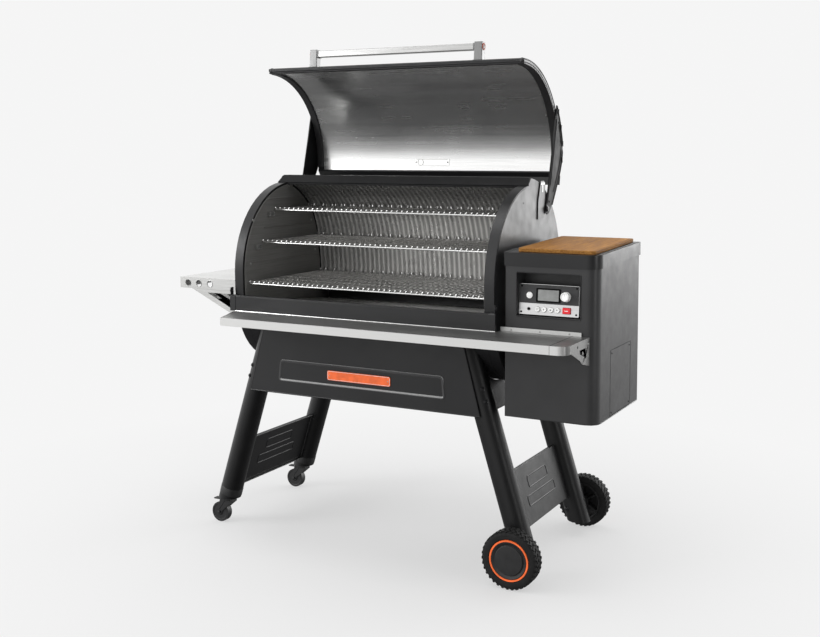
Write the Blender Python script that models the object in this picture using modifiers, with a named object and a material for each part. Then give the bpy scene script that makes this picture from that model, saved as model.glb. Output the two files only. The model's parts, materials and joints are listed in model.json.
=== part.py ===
"""Pellet smoker grill, built as separate sub-parts.

Units are metres, +Z is up, -Y is the front and +X is the hopper side.  Shapes are written about the
barrel's own centre plane (X = 0).  The empty "grill_origin" carries them, so that the whole grill stands
centred on the world origin.  The lid is written closed and its empty turns it open, which is how it rests.
"""
import math
import bmesh
import bpy
from mathutils import Matrix, Vector

# Placement of the barrel's centre plane in the world
SHIFT_X = -0.0345
SHIFT_Y = 0.07575
GAP = 0.0005                      # running gap between pieces that touch

# Barrel section, in the Y-Z plane
BARREL_Y = -0.012                 # centre of the front curve, which the lid also follows
BARREL_Z = 0.880
BARREL_R = 0.295                  # radius of the front rims
REAR = (-0.045, 0.905, 0.284, 0.292)       # rear curve: centre y, z, depth, height
BELLY = (-0.034, 0.880, 0.273, 0.320)      # belly: centre y, z, half depth, drop
BELLY_POWER = 2.5                 # squareness of the belly
STEP_DEG = 83.2                   # end of the front curve, where the end plate steps up
STEP_TOP = (-0.024, 1.196)
SKIN = 0.0025                     # sheet thickness
END_OUT = 0.4715                  # outer face of the end plates
END_IN = 0.4385                   # inner edge of their rims
WALL_OUT = 0.4375                 # inner side walls
WALL_IN = 0.4350
HEADER = ((-0.047, 1.166), (0.004, 1.166), (0.004, 1.198), (-0.024, 1.198), (-0.047, 1.171))

# Lid
PIVOT_Y = 0.098
PIVOT_Z = 1.095
LID_OPEN_DEG = 102.0
LID_R_IN = 0.2985
LID_R_OUT = 0.318
LID_R_SKIN = 0.307                # inside of the outer sheet
OVERHANG_DEG = 1.8                # where the outer sheet turns out over the header
LID_LOW_DEG = -13.2
LID_TOP_DEG = 82.6                # rear end of the seal
SHELL_TOP_DEG = (85.0, 87.2)      # rear end of the shell, inside and outside: it slants with the header
LINER_TOP_DEG = 84.2
LID_HALF = 0.475
HANDLE_DEG = -7.0
HANDLE_POST_X = 0.308

# Stand
LEG_Y = {"front": -0.250, "rear": 0.210}
LEG_R = 0.0375
LEG_BORE = 0.0350
LEG_X_REF = 0.425                 # leg axis at LEG_Z_REF
LEG_Z_REF = 0.480
LEG_SLOPE = 0.310                 # outward run per metre of drop
LEG_TOP_Z = 0.700
CASTER_LEG_Z = 0.090
CASTER_R = 0.034
CASTER_TRAIL = 0.034
WHEEL_R = 0.088
WHEEL_WIDTH = 0.050
WHEEL_LEG_Z = 0.045

# Hopper
HOP_X = (0.497, 0.782)
HOP_Y = (-0.285, 0.114)
HOP_Z = (0.496, 0.970)
HOP_CORNER = 0.036
LID_BAND = (0.945, 0.985)
LID_OVER = 0.004
LID_RISE_DEG = 1.8                # the hopper's lid and board climb towards the rear
HINGE_Y = 0.124
PANEL_TILT_DEG = 5.0
PANEL_BASE = (0.6290, -0.2740, 0.8035)      # middle of the control panel's lower edge
PANEL_W = 0.186
PANEL_H = 0.090
ACCESS_PANEL = ((-0.163, 0.500), (0.033, 0.697))    # low and high corners: y, z

# Shelves
FRONT_SHELF_TOP = 0.752
FRONT_SHELF_SKIRT = 0.025
LEFT_SHELF_TOP = 0.850
LEFT_SHELF_SKIRT = 0.037

for old in list(bpy.data.objects):
    bpy.data.objects.remove(old, do_unlink=True)
PARTS = bpy.data.collections.new("pellet_grill")
CUTTERS = bpy.data.collections.new("cutters")
for group in (PARTS, CUTTERS):
    bpy.context.scene.collection.children.link(group)


# ---------------------------------------------------------------- helpers

def material(name, colour, roughness, metallic=0.0):
    mat = bpy.data.materials.new(name)
    mat.use_nodes = True
    shader = mat.node_tree.nodes["Principled BSDF"]
    shader.inputs["Base Color"].default_value = (*colour, 1.0)
    shader.inputs["Roughness"].default_value = roughness
    shader.inputs["Metallic"].default_value = metallic
    return mat


def empty(name, location, parent=None, rotation=(0.0, 0.0, 0.0)):
    node = bpy.data.objects.new(name, None)
    node.location = location
    node.rotation_euler = rotation
    node.parent = parent
    PARTS.objects.link(node)
    return node


def add(name, bm, mat=None, parent=None, smooth=True):
    """Turn a bmesh into a named piece under its parent."""
    bmesh.ops.remove_doubles(bm, verts=bm.verts, dist=1e-6)
    bmesh.ops.recalc_face_normals(bm, faces=bm.faces)
    mesh = bpy.data.meshes.new(name)
    bm.to_mesh(mesh)
    bm.free()
    node = bpy.data.objects.new(name, mesh)
    if mat is None:
        node.hide_render = True
        node.display_type = "WIRE"
        CUTTERS.objects.link(node)
    else:
        mesh.materials.append(mat)
        PARTS.objects.link(node)
        if smooth:
            mesh.shade_smooth()
            mesh.set_sharp_from_angle(angle=math.radians(32))
    node.parent = parent or origin
    return node


def box(name, lo, hi, mat=None, parent=None, turn=None, bevel=0.0):
    bm = bmesh.new()
    bmesh.ops.create_cube(bm, size=1.0)
    size = Vector(hi) - Vector(lo)
    bmesh.ops.scale(bm, vec=size, verts=bm.verts)
    if bevel:
        bmesh.ops.bevel(bm, geom=bm.edges[:], offset=bevel, segments=2, affect="EDGES", profile=0.6)
    place = Matrix.Translation((Vector(lo) + Vector(hi)) / 2)
    bmesh.ops.transform(bm, matrix=place @ (turn or Matrix.Identity(4)), verts=bm.verts)
    return add(name, bm, mat, parent)


def rod(name, start, end, radius, mat=None, parent=None, sides=24, tip_radius=None, start_deg=0.0):
    """A round bar, or a cone where tip_radius differs from radius."""
    start, end = Vector(start), Vector(end)
    bm = bmesh.new()
    tip = radius if tip_radius is None else tip_radius
    bmesh.ops.create_cone(bm, cap_ends=True, segments=sides, radius1=radius, radius2=tip,
                          depth=(end - start).length)
    turn = (end - start).to_track_quat("Z", "Y").to_matrix().to_4x4()
    turn = turn @ Matrix.Rotation(math.radians(start_deg), 4, "Z")
    bmesh.ops.transform(bm, matrix=Matrix.Translation((start + end) / 2) @ turn, verts=bm.verts)
    return add(name, bm, mat, parent)


TO_PLANE = {
    "x": Matrix(((0, 0, 1, 0), (1, 0, 0, 0), (0, 1, 0, 0), (0, 0, 0, 1))),
    "y": Matrix(((1, 0, 0, 0), (0, 0, -1, 0), (0, 1, 0, 0), (0, 0, 0, 1))),
    "z": Matrix.Identity(4),
}


def plate(name, outline, axis, low, high, mat=None, parent=None, holes=(), turn=None):
    """A flat outline extruded along an axis.  Its points are (y, z), (x, z) or (x, y)."""
    curve = bpy.data.curves.new(name, "CURVE")
    curve.dimensions = "2D"
    curve.fill_mode = "BOTH"
    curve.extrude = (high - low) / 2
    for ring in (outline, *holes):
        spline = curve.splines.new("POLY")
        spline.points.add(len(ring) - 1)
        for point, (u, v) in zip(spline.points, ring):
            point.co = (u, v, 0.0, 1.0)
        spline.use_cyclic_u = True
    guide = bpy.data.objects.new(name + "_outline", curve)
    CUTTERS.objects.link(guide)
    bpy.context.view_layer.update()
    mesh = bpy.data.meshes.new_from_object(guide.evaluated_get(bpy.context.evaluated_depsgraph_get()))
    bm = bmesh.new()
    bm.from_mesh(mesh)
    bpy.data.objects.remove(guide, do_unlink=True)
    bpy.data.meshes.remove(mesh)
    middle = (low + high) / 2
    offset = {"x": (middle, 0, 0), "y": (0, middle, 0), "z": (0, 0, middle)}[axis]
    bmesh.ops.transform(bm, matrix=(turn or Matrix.Identity(4)) @ Matrix.Translation(offset) @ TO_PLANE[axis],
                        verts=bm.verts)
    return add(name, bm, mat, parent)


def combine(node, other, operation="DIFFERENCE"):
    """Cut other out of node, or weld it on, with a Boolean that stays on the piece."""
    if other.name in PARTS.objects:
        PARTS.objects.unlink(other)
        CUTTERS.objects.link(other)
    other.hide_render = True
    other.display_type = "WIRE"
    step = node.modifiers.new(operation.lower() + "_" + other.name, "BOOLEAN")
    step.operation = operation
    step.object = other
    step.solver = "EXACT"
    return node


def flat_radius(radius, sides):
    """Corner radius of a polygon whose flats lie at the given radius."""
    return radius / math.cos(math.pi / sides)


def turned(name, profile, centre, axis, mat, parent=None, steps=32, start_deg=0.0):
    """A turned piece: a closed (radius, height) profile spun about an axis."""
    bm = bmesh.new()
    ring = [bm.verts.new((r, 0.0, h)) for r, h in profile]
    for first, second in zip(ring, ring[1:] + ring[:1]):
        bm.edges.new((first, second))
    bmesh.ops.spin(bm, geom=bm.verts[:] + bm.edges[:], cent=(0, 0, 0), axis=(0, 0, 1),
                   angle=2 * math.pi, steps=steps, use_merge=True)
    turn = Vector(axis).to_track_quat("Z", "Y").to_matrix().to_4x4()
    start = Matrix.Rotation(math.radians(start_deg), 4, "Z")
    bmesh.ops.transform(bm, matrix=Matrix.Translation(centre) @ turn @ start, verts=bm.verts)
    return add(name, bm, mat, parent)


def arc_points(radius, start_deg, end_deg, count, centre=(BARREL_Y, BARREL_Z)):
    """Points of an arc in the Y-Z plane; 0 degrees faces the front and 90 degrees is up."""
    points = []
    for step in range(count + 1):
        angle = math.radians(start_deg + (end_deg - start_deg) * step / count)
        points.append((centre[0] - radius * math.cos(angle), centre[1] + radius * math.sin(angle)))
    return points


def arc_slab(name, r_in, r_out, start, end, half, mat, parent=None, count=18, low_x=None):
    ring = arc_points(r_out, start, end, count) + arc_points(r_in, end, start, count)
    low = -half if low_x is None else low_x
    return plate(name, ring, "x", low, half, mat, parent)


def rear_points(inset, start_deg, end_deg, count):
    """The barrel's back, an ellipse; 90 degrees is its top and 180 degrees faces the rear."""
    y, z, deep, high = REAR
    angles = [math.radians(start_deg + (end_deg - start_deg) * step / count) for step in range(count + 1)]
    return [(y - (deep - inset) * math.cos(a), z + (high - inset) * math.sin(a)) for a in angles]


def belly_points(inset, start_deg, end_deg, count):
    """The barrel's underside, squarer than an ellipse, from 180 (rear) to 360 degrees (front)."""
    y, z, deep, drop = BELLY
    power = 2.0 / BELLY_POWER
    points = []
    for step in range(count + 1):
        angle = math.radians(start_deg + (end_deg - start_deg) * step / count)
        across, down = -math.cos(angle), -math.sin(angle)
        wide = math.copysign(abs(across) ** power, across) * (deep - inset)
        points.append((y + wide, z - max(down, 0.0) ** power * (drop - inset)))
    return points


def barrel_outline(inset):
    """The whole section: front curve, step at the header, rear curve and belly."""
    front = arc_points(BARREL_R - inset, 0.0, STEP_DEG, 14)
    step = [(STEP_TOP[0] + inset * 0.4, STEP_TOP[1] - inset)]
    return front + step + rear_points(inset, 96.0, 180.0, 16) + belly_points(inset, 180.0, 360.0, 26)[:-1]


def skin_section(inset):
    """The rolled skin's line, from the header's back down to the sill."""
    return rear_points(inset, 100.5, 180.0, 16) + belly_points(inset, 180.0, 344.0, 26)


def rounded(x_low, x_high, y_low, y_high, radii, steps=5):
    """A rectangle whose four corners are rounded, from the low-low corner anticlockwise."""
    corners = ((x_low, y_low, 180), (x_high, y_low, 270), (x_high, y_high, 0), (x_low, y_high, 90))
    points = []
    for (x, y, start), radius in zip(corners, radii):
        if radius == 0.0:
            points.append((x, y))
            continue
        cx = x + (radius if x == x_low else -radius)
        cy = y + (radius if y == y_low else -radius)
        for step in range(steps + 1):
            angle = math.radians(start + 90.0 * step / steps)
            points.append((cx + radius * math.cos(angle), cy + radius * math.sin(angle)))
    return points


def circle(x, y, radius, count=16):
    return [(x + radius * math.cos(2 * math.pi * i / count), y + radius * math.sin(2 * math.pi * i / count))
            for i in range(count)]


def leg_x(z):
    return LEG_X_REF + LEG_SLOPE * (LEG_Z_REF - z)


# ---------------------------------------------------------------- frames and materials

origin = empty("grill_origin", (SHIFT_X, SHIFT_Y, 0.0))
lid_frame = empty("lid_pivot", (0.0, PIVOT_Y, PIVOT_Z), origin, (-math.radians(LID_OPEN_DEG), 0.0, 0.0))
closed = empty("lid_closed_space", (0.0, -PIVOT_Y, -PIVOT_Z), lid_frame)

black = material("powder_coat_black", (0.012, 0.012, 0.013), 0.42)
char = material("porcelain_charcoal", (0.05, 0.05, 0.052), 0.38)
steel = material("brushed_stainless", (0.62, 0.62, 0.61), 0.32, 1.0)
bright = material("bright_stainless", (0.75, 0.75, 0.74), 0.22, 1.0)
wire = material("grate_steel", (0.30, 0.30, 0.30), 0.35, 1.0)
rope = material("seal_fibre", (0.03, 0.03, 0.03), 0.9)
rubber = material("tyre_rubber", (0.02, 0.02, 0.02), 0.7)
plastic = material("hub_plastic", (0.025, 0.025, 0.026), 0.45)
orange = material("plate_orange", (0.80, 0.16, 0.03), 0.4)
bamboo = material("bamboo", (0.50, 0.23, 0.07), 0.5)
silver = material("panel_silver", (0.55, 0.55, 0.55), 0.4, 0.6)
white = material("key_white", (0.8, 0.8, 0.8), 0.4)
red = material("key_red", (0.7, 0.02, 0.03), 0.4)


# ---------------------------------------------------------------- barrel

def barrel():
    section = skin_section(0.0) + skin_section(SKIN)[::-1]
    barrel_shell = plate("barrel_shell", section, "x", -END_IN + GAP, END_IN - GAP, black)
    tube_space = rod("tube_space", (0.30, 0.0, 0.640), (0.60, 0.0, 0.640), 0.0335)
    pipe_space = rod("pipe_space", (0.0, 0.10, 0.40), (0.0, 0.10, 0.70), 0.017)
    combine(barrel_shell, pipe_space)
    for side, sign in (("left", -1), ("right", 1)):
        span = sorted((sign * END_IN, sign * END_OUT))
        end = plate("end_plate_" + side, barrel_outline(0.0), "x", *span, black)
        hollow = sorted((sign * 0.40, sign * (END_OUT - SKIN)))
        pocket = plate("end_pocket_" + side, barrel_outline(0.006), "x", *hollow)
        combine(end, pocket)
        pin = rod("hinge_pin_" + side, (sign * (END_OUT - 0.002), PIVOT_Y, PIVOT_Z),
                  (sign * 0.4845, PIVOT_Y, PIVOT_Z), 0.0080, sides=20)
        combine(end, pin, "UNION")
        wall = plate("inner_wall_" + side, barrel_outline(0.0075), "x",
                     *sorted((sign * WALL_IN, sign * WALL_OUT)), char)
        low_x, high_x = sorted((sign * 0.426, sign * 0.4355))
        for level, (front, back, height) in enumerate(GRATES):
            ledge = box(f"ledge_{side}_{level}", (low_x, front + 0.012, height - 0.0105),
                        (high_x, back - 0.004, height - 0.0075))
            combine(wall, ledge, "UNION")
        if side == "right":
            combine(end, tube_space)
            combine(wall, tube_space)
    liner = [(y, z) for y, z in BACK_WALL] + [(y - 0.002, z - 0.0008) for y, z in reversed(BACK_WALL)]
    plate("back_liner", liner, "x", -WALL_IN + GAP, WALL_IN - GAP, steel)
    plate("header_bar", HEADER, "x", -WALL_IN + GAP, WALL_IN - GAP, black)
    lip = [(-0.3200, 0.7520), (-0.3085, 0.7520), (-0.3085, 0.7965), (-0.3045, 0.8000), (-0.3045, 0.8035),
           (-0.3165, 0.8035), (-0.3200, 0.8000)]
    plate("front_lip", lip, "x", -0.480, 0.480, black)
    duct = box("exhaust_duct", (-0.300, 0.2430, 0.800), (0.300, 0.2950, 1.000), black, bevel=0.006)
    combine(duct, box("duct_mouth", (-0.290, 0.2480, 0.790), (0.290, 0.2900, 0.960)))


# Line of the chamber's back wall, from under the header down to the tray
BACK_WALL = ((-0.0080, 1.1655), (0.0280, 1.1480), (0.0600, 1.1265), (0.0880, 1.1030), (0.1090, 1.0780),
             (0.1250, 1.0520), (0.1390, 1.0220), (0.1500, 0.9880), (0.1580, 0.9500), (0.1640, 0.9100),
             (0.1680, 0.8730), (0.1690, 0.8400), (0.1670, 0.8050), (0.1620, 0.7750))
GRATES = ((-0.282, 0.160, 0.8470), (-0.205, 0.146, 0.9800), (-0.131, 0.086, 1.0870))
GRATE_NAMES = ("grate_bottom", "grate_middle", "grate_top")
GRATE_HALF = 0.4320


def grates():
    """Each grate is a frame of bars that run front to back, 4 mm thick."""
    bars = 30
    rim = 0.006
    pitch = (2 * GRATE_HALF - rim) / bars
    for name, (front, back, height) in zip(GRATE_NAMES, GRATES):
        slots = []
        for number in range(bars):
            left = -GRATE_HALF + rim + pitch * number
            right = left + pitch - rim
            slots.append([(left, front + rim), (right, front + rim), (right, back - rim), (left, back - rim)])
        frame = [(-GRATE_HALF, front), (GRATE_HALF, front), (GRATE_HALF, back), (-GRATE_HALF, back)]
        plate(name, frame, "z", height - 0.0070, height - 0.0025, wire, holes=slots)


def firebox():
    """What burns the pellets: tray, baffle, firepot, auger and its drive."""
    slope = Matrix.Rotation(math.radians(-3.0), 4, "X")
    box("drip_tray", (-0.425, -0.245, 0.7560), (0.425, 0.150, 0.7600), steel, turn=slope)
    box("heat_baffle", (-0.190, -0.150, 0.7060), (0.190, 0.130, 0.7100), black)
    pot = [(0.060, 0.0), (0.060, 0.110), (0.056, 0.110), (0.056, 0.004), (0.030, 0.004), (0.030, 0.0)]
    firepot = turned("firepot", pot, (0.0, 0.0, 0.5850), (0, 0, 1), black)
    combine(firepot, rod("pot_mouth", (0.030, 0.0, 0.640), (0.080, 0.0, 0.640), 0.0300))
    tube = [(0.0300, 0.0), (0.0330, 0.0), (0.0330, 0.512), (0.0300, 0.512)]
    turned("auger_tube", tube, (0.0640, 0.0, 0.640), (1, 0, 0), steel, steps=20)
    screw_bm = bmesh.new()
    bmesh.ops.create_cube(screw_bm, size=1.0)
    bmesh.ops.scale(screw_bm, vec=(0.480, 0.052, 0.012), verts=screw_bm.verts)
    runs = [edge for edge in screw_bm.edges if abs(edge.verts[0].co.x - edge.verts[1].co.x) > 0.1]
    bmesh.ops.subdivide_edges(screw_bm, edges=runs, cuts=71)
    for vert in screw_bm.verts:
        turn = Matrix.Rotation(vert.co.x / 0.480 * math.radians(360.0 * 6), 3, "X")
        vert.co = turn @ vert.co
    bmesh.ops.translate(screw_bm, vec=(0.3100, 0.0, 0.640), verts=screw_bm.verts)
    add("auger", screw_bm, steel)
    box("auger_motor", (0.6200, -0.045, 0.590), (0.7200, 0.045, 0.690), black, bevel=0.008)
    blades = []
    count = 10
    for number in range(count * 2):
        angle = math.pi * number / count
        reach = 0.040 if number % 2 == 0 else 0.018
        blades.append((0.6350 + reach * math.cos(angle), -0.190 + reach * math.sin(angle)))
    plate("fan_impeller", blades, "z", 0.5100, 0.5300, steel)


def bucket():
    """The grease bucket hangs by its rim behind the apron."""
    cup = [(0.045, 0.0), (0.056, 0.085), (0.062, 0.085), (0.062, 0.088), (0.0535, 0.088), (0.0435, 0.003),
           (0.012, 0.003), (0.012, 0.0)]
    pail = turned("grease_bucket", cup, (0.0, 0.100, 0.4440), (0, 0, 1), steel, steps=24)
    combine(pail, rod("bucket_floor", (0.0, 0.100, 0.4440), (0.0, 0.100, 0.4470), 0.014), "UNION")


# ---------------------------------------------------------------- lid

def closed_place(y, z):
    """Where a point of the open lid lies once the lid is shut."""
    angle = math.radians(LID_OPEN_DEG)
    dy, dz = y - PIVOT_Y, z - PIVOT_Z
    return (PIVOT_Y + dy * math.cos(angle) - dz * math.sin(angle),
            PIVOT_Z + dy * math.sin(angle) + dz * math.cos(angle))


def lid():
    inner_top, outer_top = SHELL_TOP_DEG
    overhang = [(-0.0300, 1.2000), (-0.0270, 1.2012), (0.0000, 1.2012), (0.0000, 1.1992), (-0.0265, 1.1992)]
    skin = (arc_points(LID_R_OUT, LID_LOW_DEG, outer_top - OVERHANG_DEG, 26) + overhang
            + arc_points(LID_R_SKIN, inner_top, LID_LOW_DEG, 26))
    plate("lid_shell", skin, "x", -LID_HALF, LID_HALF, black, closed)
    arc_slab("lid_liner", 0.3035, 0.3065, LID_LOW_DEG + 2.4, LINER_TOP_DEG, 0.4480, bright, closed, 24)
    seal = arc_slab("lid_seal", LID_R_IN, 0.3065, LID_LOW_DEG, LID_TOP_DEG, LID_HALF, rope, closed, 24)
    field = arc_slab("seal_field", 0.2900, 0.3200, LID_LOW_DEG + 2.3, 95.0, 0.4485, None, closed, 24)
    combine(seal, field)
    combine(seal, plate("seal_relief", barrel_outline(-0.0008), "x", -0.48, 0.48, None, closed))
    wing_open = [(0.084, 1.083), (0.176, 1.410), (0.178, 1.432), (0.210, 1.375), (0.233, 1.308),
                 (0.229, 1.252), (0.195, 1.185), (0.140, 1.106), (0.116, 1.082), (0.100, 1.076)]
    wing_outline = [closed_place(y, z) for y, z in wing_open]
    for side, sign in (("left", -1), ("right", 1)):
        span = sorted((sign * 0.4760, sign * 0.4795))
        plate("lid_wing_" + side, wing_outline, "x", *span, black, closed,
              holes=[circle(PIVOT_Y, PIVOT_Z, 0.0085)])
        foot = Vector((0.0, BARREL_Y - (LID_R_OUT + 0.0003) * math.cos(math.radians(HANDLE_DEG)),
                       BARREL_Z + (LID_R_OUT + 0.0003) * math.sin(math.radians(HANDLE_DEG))))
        turn = Matrix.Rotation(math.radians(-HANDLE_DEG), 4, "X")
        half = Vector((0.0140, 0.0300, 0.0130))
        middle = foot + turn @ Vector((sign * HANDLE_POST_X, -half.y - 0.0012, 0.0))
        box("handle_post_" + side, middle - half, middle + half, silver, closed, turn, bevel=0.002)
    reach = Vector((HANDLE_POST_X - 0.0143, 0.0105, 0.0105))
    middle = foot + turn @ Vector((0.0, -0.0460, 0.0))
    box("handle_bar", middle - reach, middle + reach, steel, closed, turn, bevel=0.002)


# ---------------------------------------------------------------- stand

def leg(name, sign, side_y, bottom):
    """A tube leg, cut level at its foot and scooped to the barrel's belly at its top."""
    low, high = bottom - 0.10, LEG_TOP_Z + 0.06
    start = Vector((sign * leg_x(low), side_y, low))
    end = Vector((sign * leg_x(high), side_y, high))
    tube = rod(name, start, end, LEG_R, black)
    bore_low, bore_high = bottom + 0.03, high + 0.02
    bore = rod(name + "_bore", (sign * leg_x(bore_low), side_y, bore_low),
               (sign * leg_x(bore_high), side_y, bore_high), LEG_BORE)
    combine(tube, bore)
    combine(tube, plate(name + "_scoop", barrel_outline(-0.0010), "x", -0.6, 0.6))
    combine(tube, box(name + "_foot", (-0.9, -0.5, bottom - 0.30), (0.9, 0.5, bottom)))
    combine(tube, box(name + "_top", (-0.9, -0.5, LEG_TOP_Z), (0.9, 0.5, LEG_TOP_Z + 0.3)))
    return tube


def caster(place, side_y):
    """Swivel fork, wheel and brake lever under a left leg."""
    x = -leg_x(CASTER_LEG_Z)
    swivel = empty("caster_swivel_" + place, (x, side_y, 0.0), origin)
    wheel_x = -CASTER_TRAIL
    cheeks = [(0.018, 0.0855), (-0.030, 0.0855), (wheel_x - 0.010, 0.040), (wheel_x - 0.007, 0.027),
              (wheel_x + 0.007, 0.027), (wheel_x + 0.012, 0.040), (0.018, 0.0740)]
    thick = 0.0155
    fork = plate("caster_fork_" + place, cheeks, "y", -thick, thick, plastic, swivel)
    throat = box("fork_throat_" + place, (-0.10, -0.0125, 0.0), (0.0, 0.0125, 0.0715), parent=swivel)
    combine(fork, throat)
    stem = rod("fork_stem_" + place, (0.0, 0.0, 0.084), (0.0, 0.0, 0.0895), 0.012, parent=swivel)
    combine(fork, stem, "UNION")
    hole = rod("fork_hole_" + place, (wheel_x, -0.03, CASTER_R), (wheel_x, 0.03, CASTER_R), 0.0045,
               parent=swivel)
    combine(fork, hole)
    tread = rod("caster_wheel_" + place, (wheel_x, -0.0110, CASTER_R), (wheel_x, 0.0110, CASTER_R),
                flat_radius(CASTER_R, 32), plastic, swivel, sides=32, start_deg=180.0 / 32)
    pin = rod("caster_pin_" + place, (wheel_x, -0.0185, CASTER_R), (wheel_x, 0.0185, CASTER_R), 0.0040,
              parent=swivel)
    combine(tread, pin, "UNION")
    box("brake_lever_" + place, (wheel_x - 0.0280, -0.010, 0.0760), (wheel_x - 0.0005, 0.010, 0.0800),
        plastic, swivel, bevel=0.001)


def big_wheel(place, sign, leg_y):
    """Treaded tyre on a hub, turning on a stub axle in the right leg."""
    inner = leg_y + sign * (LEG_R + 0.0270)
    x = leg_x(WHEEL_R)
    axis = (0, sign, 0)
    tread = flat_radius(WHEEL_R, 48)
    tyre = [(0.0640, 0.0), (0.0840, 0.0), (tread, 0.004), (tread, WHEEL_WIDTH - 0.004),
            (0.0840, WHEEL_WIDTH), (0.0640, WHEEL_WIDTH)]
    turned("tyre_" + place, tyre, (x, inner, WHEEL_R), axis, rubber, steps=48, start_deg=180.0 / 48)
    hub = [(0.0085, 0.002), (0.0200, 0.002), (0.0200, 0.030), (0.0560, 0.030), (0.0560, 0.002),
           (0.0637, 0.002), (0.0637, WHEEL_WIDTH - 0.002), (0.0500, WHEEL_WIDTH), (0.0085, WHEEL_WIDTH)]
    turned("hub_" + place, hub, (x, inner, WHEEL_R), axis, plastic, steps=32)
    outer = inner + sign * (WHEEL_WIDTH - 0.001)
    return rod("axle_" + place, (x, leg_y, WHEEL_R), (x, outer, WHEEL_R), 0.0080)


def stand():
    for place, sign in (("front", -1), ("rear", 1)):
        leg_y = LEG_Y[place]
        leg(f"leg_{place}_left", -1, leg_y, CASTER_LEG_Z)
        caster(place, leg_y)
        right = leg(f"leg_{place}_right", 1, leg_y, WHEEL_LEG_Z)
        combine(right, big_wheel(place, sign, leg_y), "UNION")
    apron = [(-0.421, 0.485), (0.421, 0.485), (0.360, 0.718), (-0.360, 0.718)]
    plate("front_apron", apron, "y", -0.2945, -0.2905, black)
    blank = rounded(-0.1155, 0.1155, 0.5475, 0.5785, (0.005,) * 4, 3)
    plate("name_plate", blank, "y", -0.2975, -0.2948, orange)
    lean = math.atan(LEG_SLOPE)
    for side, sign in (("left", -1), ("right", 1)):
        channel = [(-0.0100, -0.0890), (0.0020, -0.0890), (0.0020, 0.0890), (-0.0100, 0.0890),
                   (-0.0100, 0.0865), (-0.0005, 0.0865), (-0.0005, -0.0865), (-0.0100, -0.0865)]
        outline = [(sign * u, v) for u, v in channel]
        turn = Matrix.Translation((sign * leg_x(0.215), 0.0, 0.215)) @ Matrix.Rotation(-sign * lean, 4, "Y")
        plate("end_panel_" + side, outline, "y", -0.2100, 0.1700, black, turn=turn)


# ---------------------------------------------------------------- hopper

def hopper():
    corner = (0.004, HOP_CORNER, 0.004, 0.004)
    outer = rounded(*HOP_X, *HOP_Y, corner)
    inside = rounded(HOP_X[0] + SKIN, HOP_X[1] - SKIN, HOP_Y[0] + SKIN, HOP_Y[1] - SKIN,
                     (0.002, HOP_CORNER - SKIN, 0.002, 0.002))
    body = plate("hopper_body", outer, "z", *HOP_Z, black)
    combine(body, plate("hopper_inside", inside, "z", HOP_Z[0] + SKIN, 1.10))
    combine(body, box("recess_cut", (0.5340, -0.300, 0.7995), (0.7310, -0.270, 0.9280)))
    hood = box("control_hood", (0.5320, -0.2840, 0.7975), (0.7330, -0.2180, 0.9300))
    combine(hood, box("hood_space", (0.5345, -0.3000, 0.8000), (0.7305, -0.2205, 0.9275)))
    combine(body, hood, "UNION")
    combine(body, rod("tube_cut", (0.48, 0.0, 0.640), (0.52, 0.0, 0.640), 0.0340))
    (low_y, low_z), (high_y, high_z) = ACCESS_PANEL
    combine(body, box("access_cut", (0.770, low_y, low_z), (0.800, high_y, high_z)))
    box("access_panel", (HOP_X[1] - SKIN, low_y + GAP, low_z + GAP),
        (HOP_X[1], high_y - GAP, high_z - GAP), black)
    hinge = rod("lid_hinge", (0.520, HINGE_Y, 0.943), (0.760, HINGE_Y, 0.943), 0.0035, sides=12)
    combine(body, hinge, "UNION")
    combine(body, box("hinge_leaf", (0.520, HOP_Y[1] - 0.001, 0.925), (0.760, HINGE_Y, 0.9430)), "UNION")


def chute():
    """The hopper's false floor, with a square neck that drops the pellets to the auger."""
    trough = box("pellet_chute", (0.5010, -0.215, 0.8200), (0.7785, 0.0640, 0.8225), steel)
    combine(trough, box("chute_mouth", (0.600, -0.060, 0.7), (0.680, 0.020, 0.9)))
    neck = box("chute_neck", (0.596, -0.064, 0.6950), (0.684, 0.024, 0.8210))
    combine(neck, box("neck_hole", (0.600, -0.060, 0.690), (0.680, 0.020, 0.9)))
    combine(trough, neck, "UNION")


def hopper_top():
    """The hopper's lid and the board that lies on it."""
    lid_x = (HOP_X[0] - LID_OVER, HOP_X[1] + LID_OVER)
    lid_y = (HOP_Y[0] - LID_OVER, HOP_Y[1] + LID_OVER)
    front_edge = Matrix.Translation((0.0, lid_y[0], LID_BAND[1]))
    rise = front_edge @ Matrix.Rotation(math.radians(LID_RISE_DEG), 4, "X") @ front_edge.inverted()
    rim = rounded(*lid_x, *lid_y, (0.006, HOP_CORNER + LID_OVER, 0.006, 0.006))
    cap = plate("hopper_lid", rim, "z", *LID_BAND, black, turn=rise)
    under = rounded(lid_x[0] + SKIN, lid_x[1] - SKIN, lid_y[0] + SKIN, lid_y[1] - SKIN,
                    (0.004, HOP_CORNER + 0.0015, 0.004, 0.004))
    combine(cap, plate("lid_inside", under, "z", 0.90, LID_BAND[1] - SKIN, turn=rise))
    board = plate("cutting_board", rounded(0.5290, 0.7680, -0.2690, 0.1040, (0.012,) * 4), "z",
                  LID_BAND[1] + 0.0005, LID_BAND[1] + 0.0110, bamboo, turn=rise)
    soften = board.modifiers.new("soft_edge", "BEVEL")
    soften.width = 0.003
    soften.segments = 2


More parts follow.
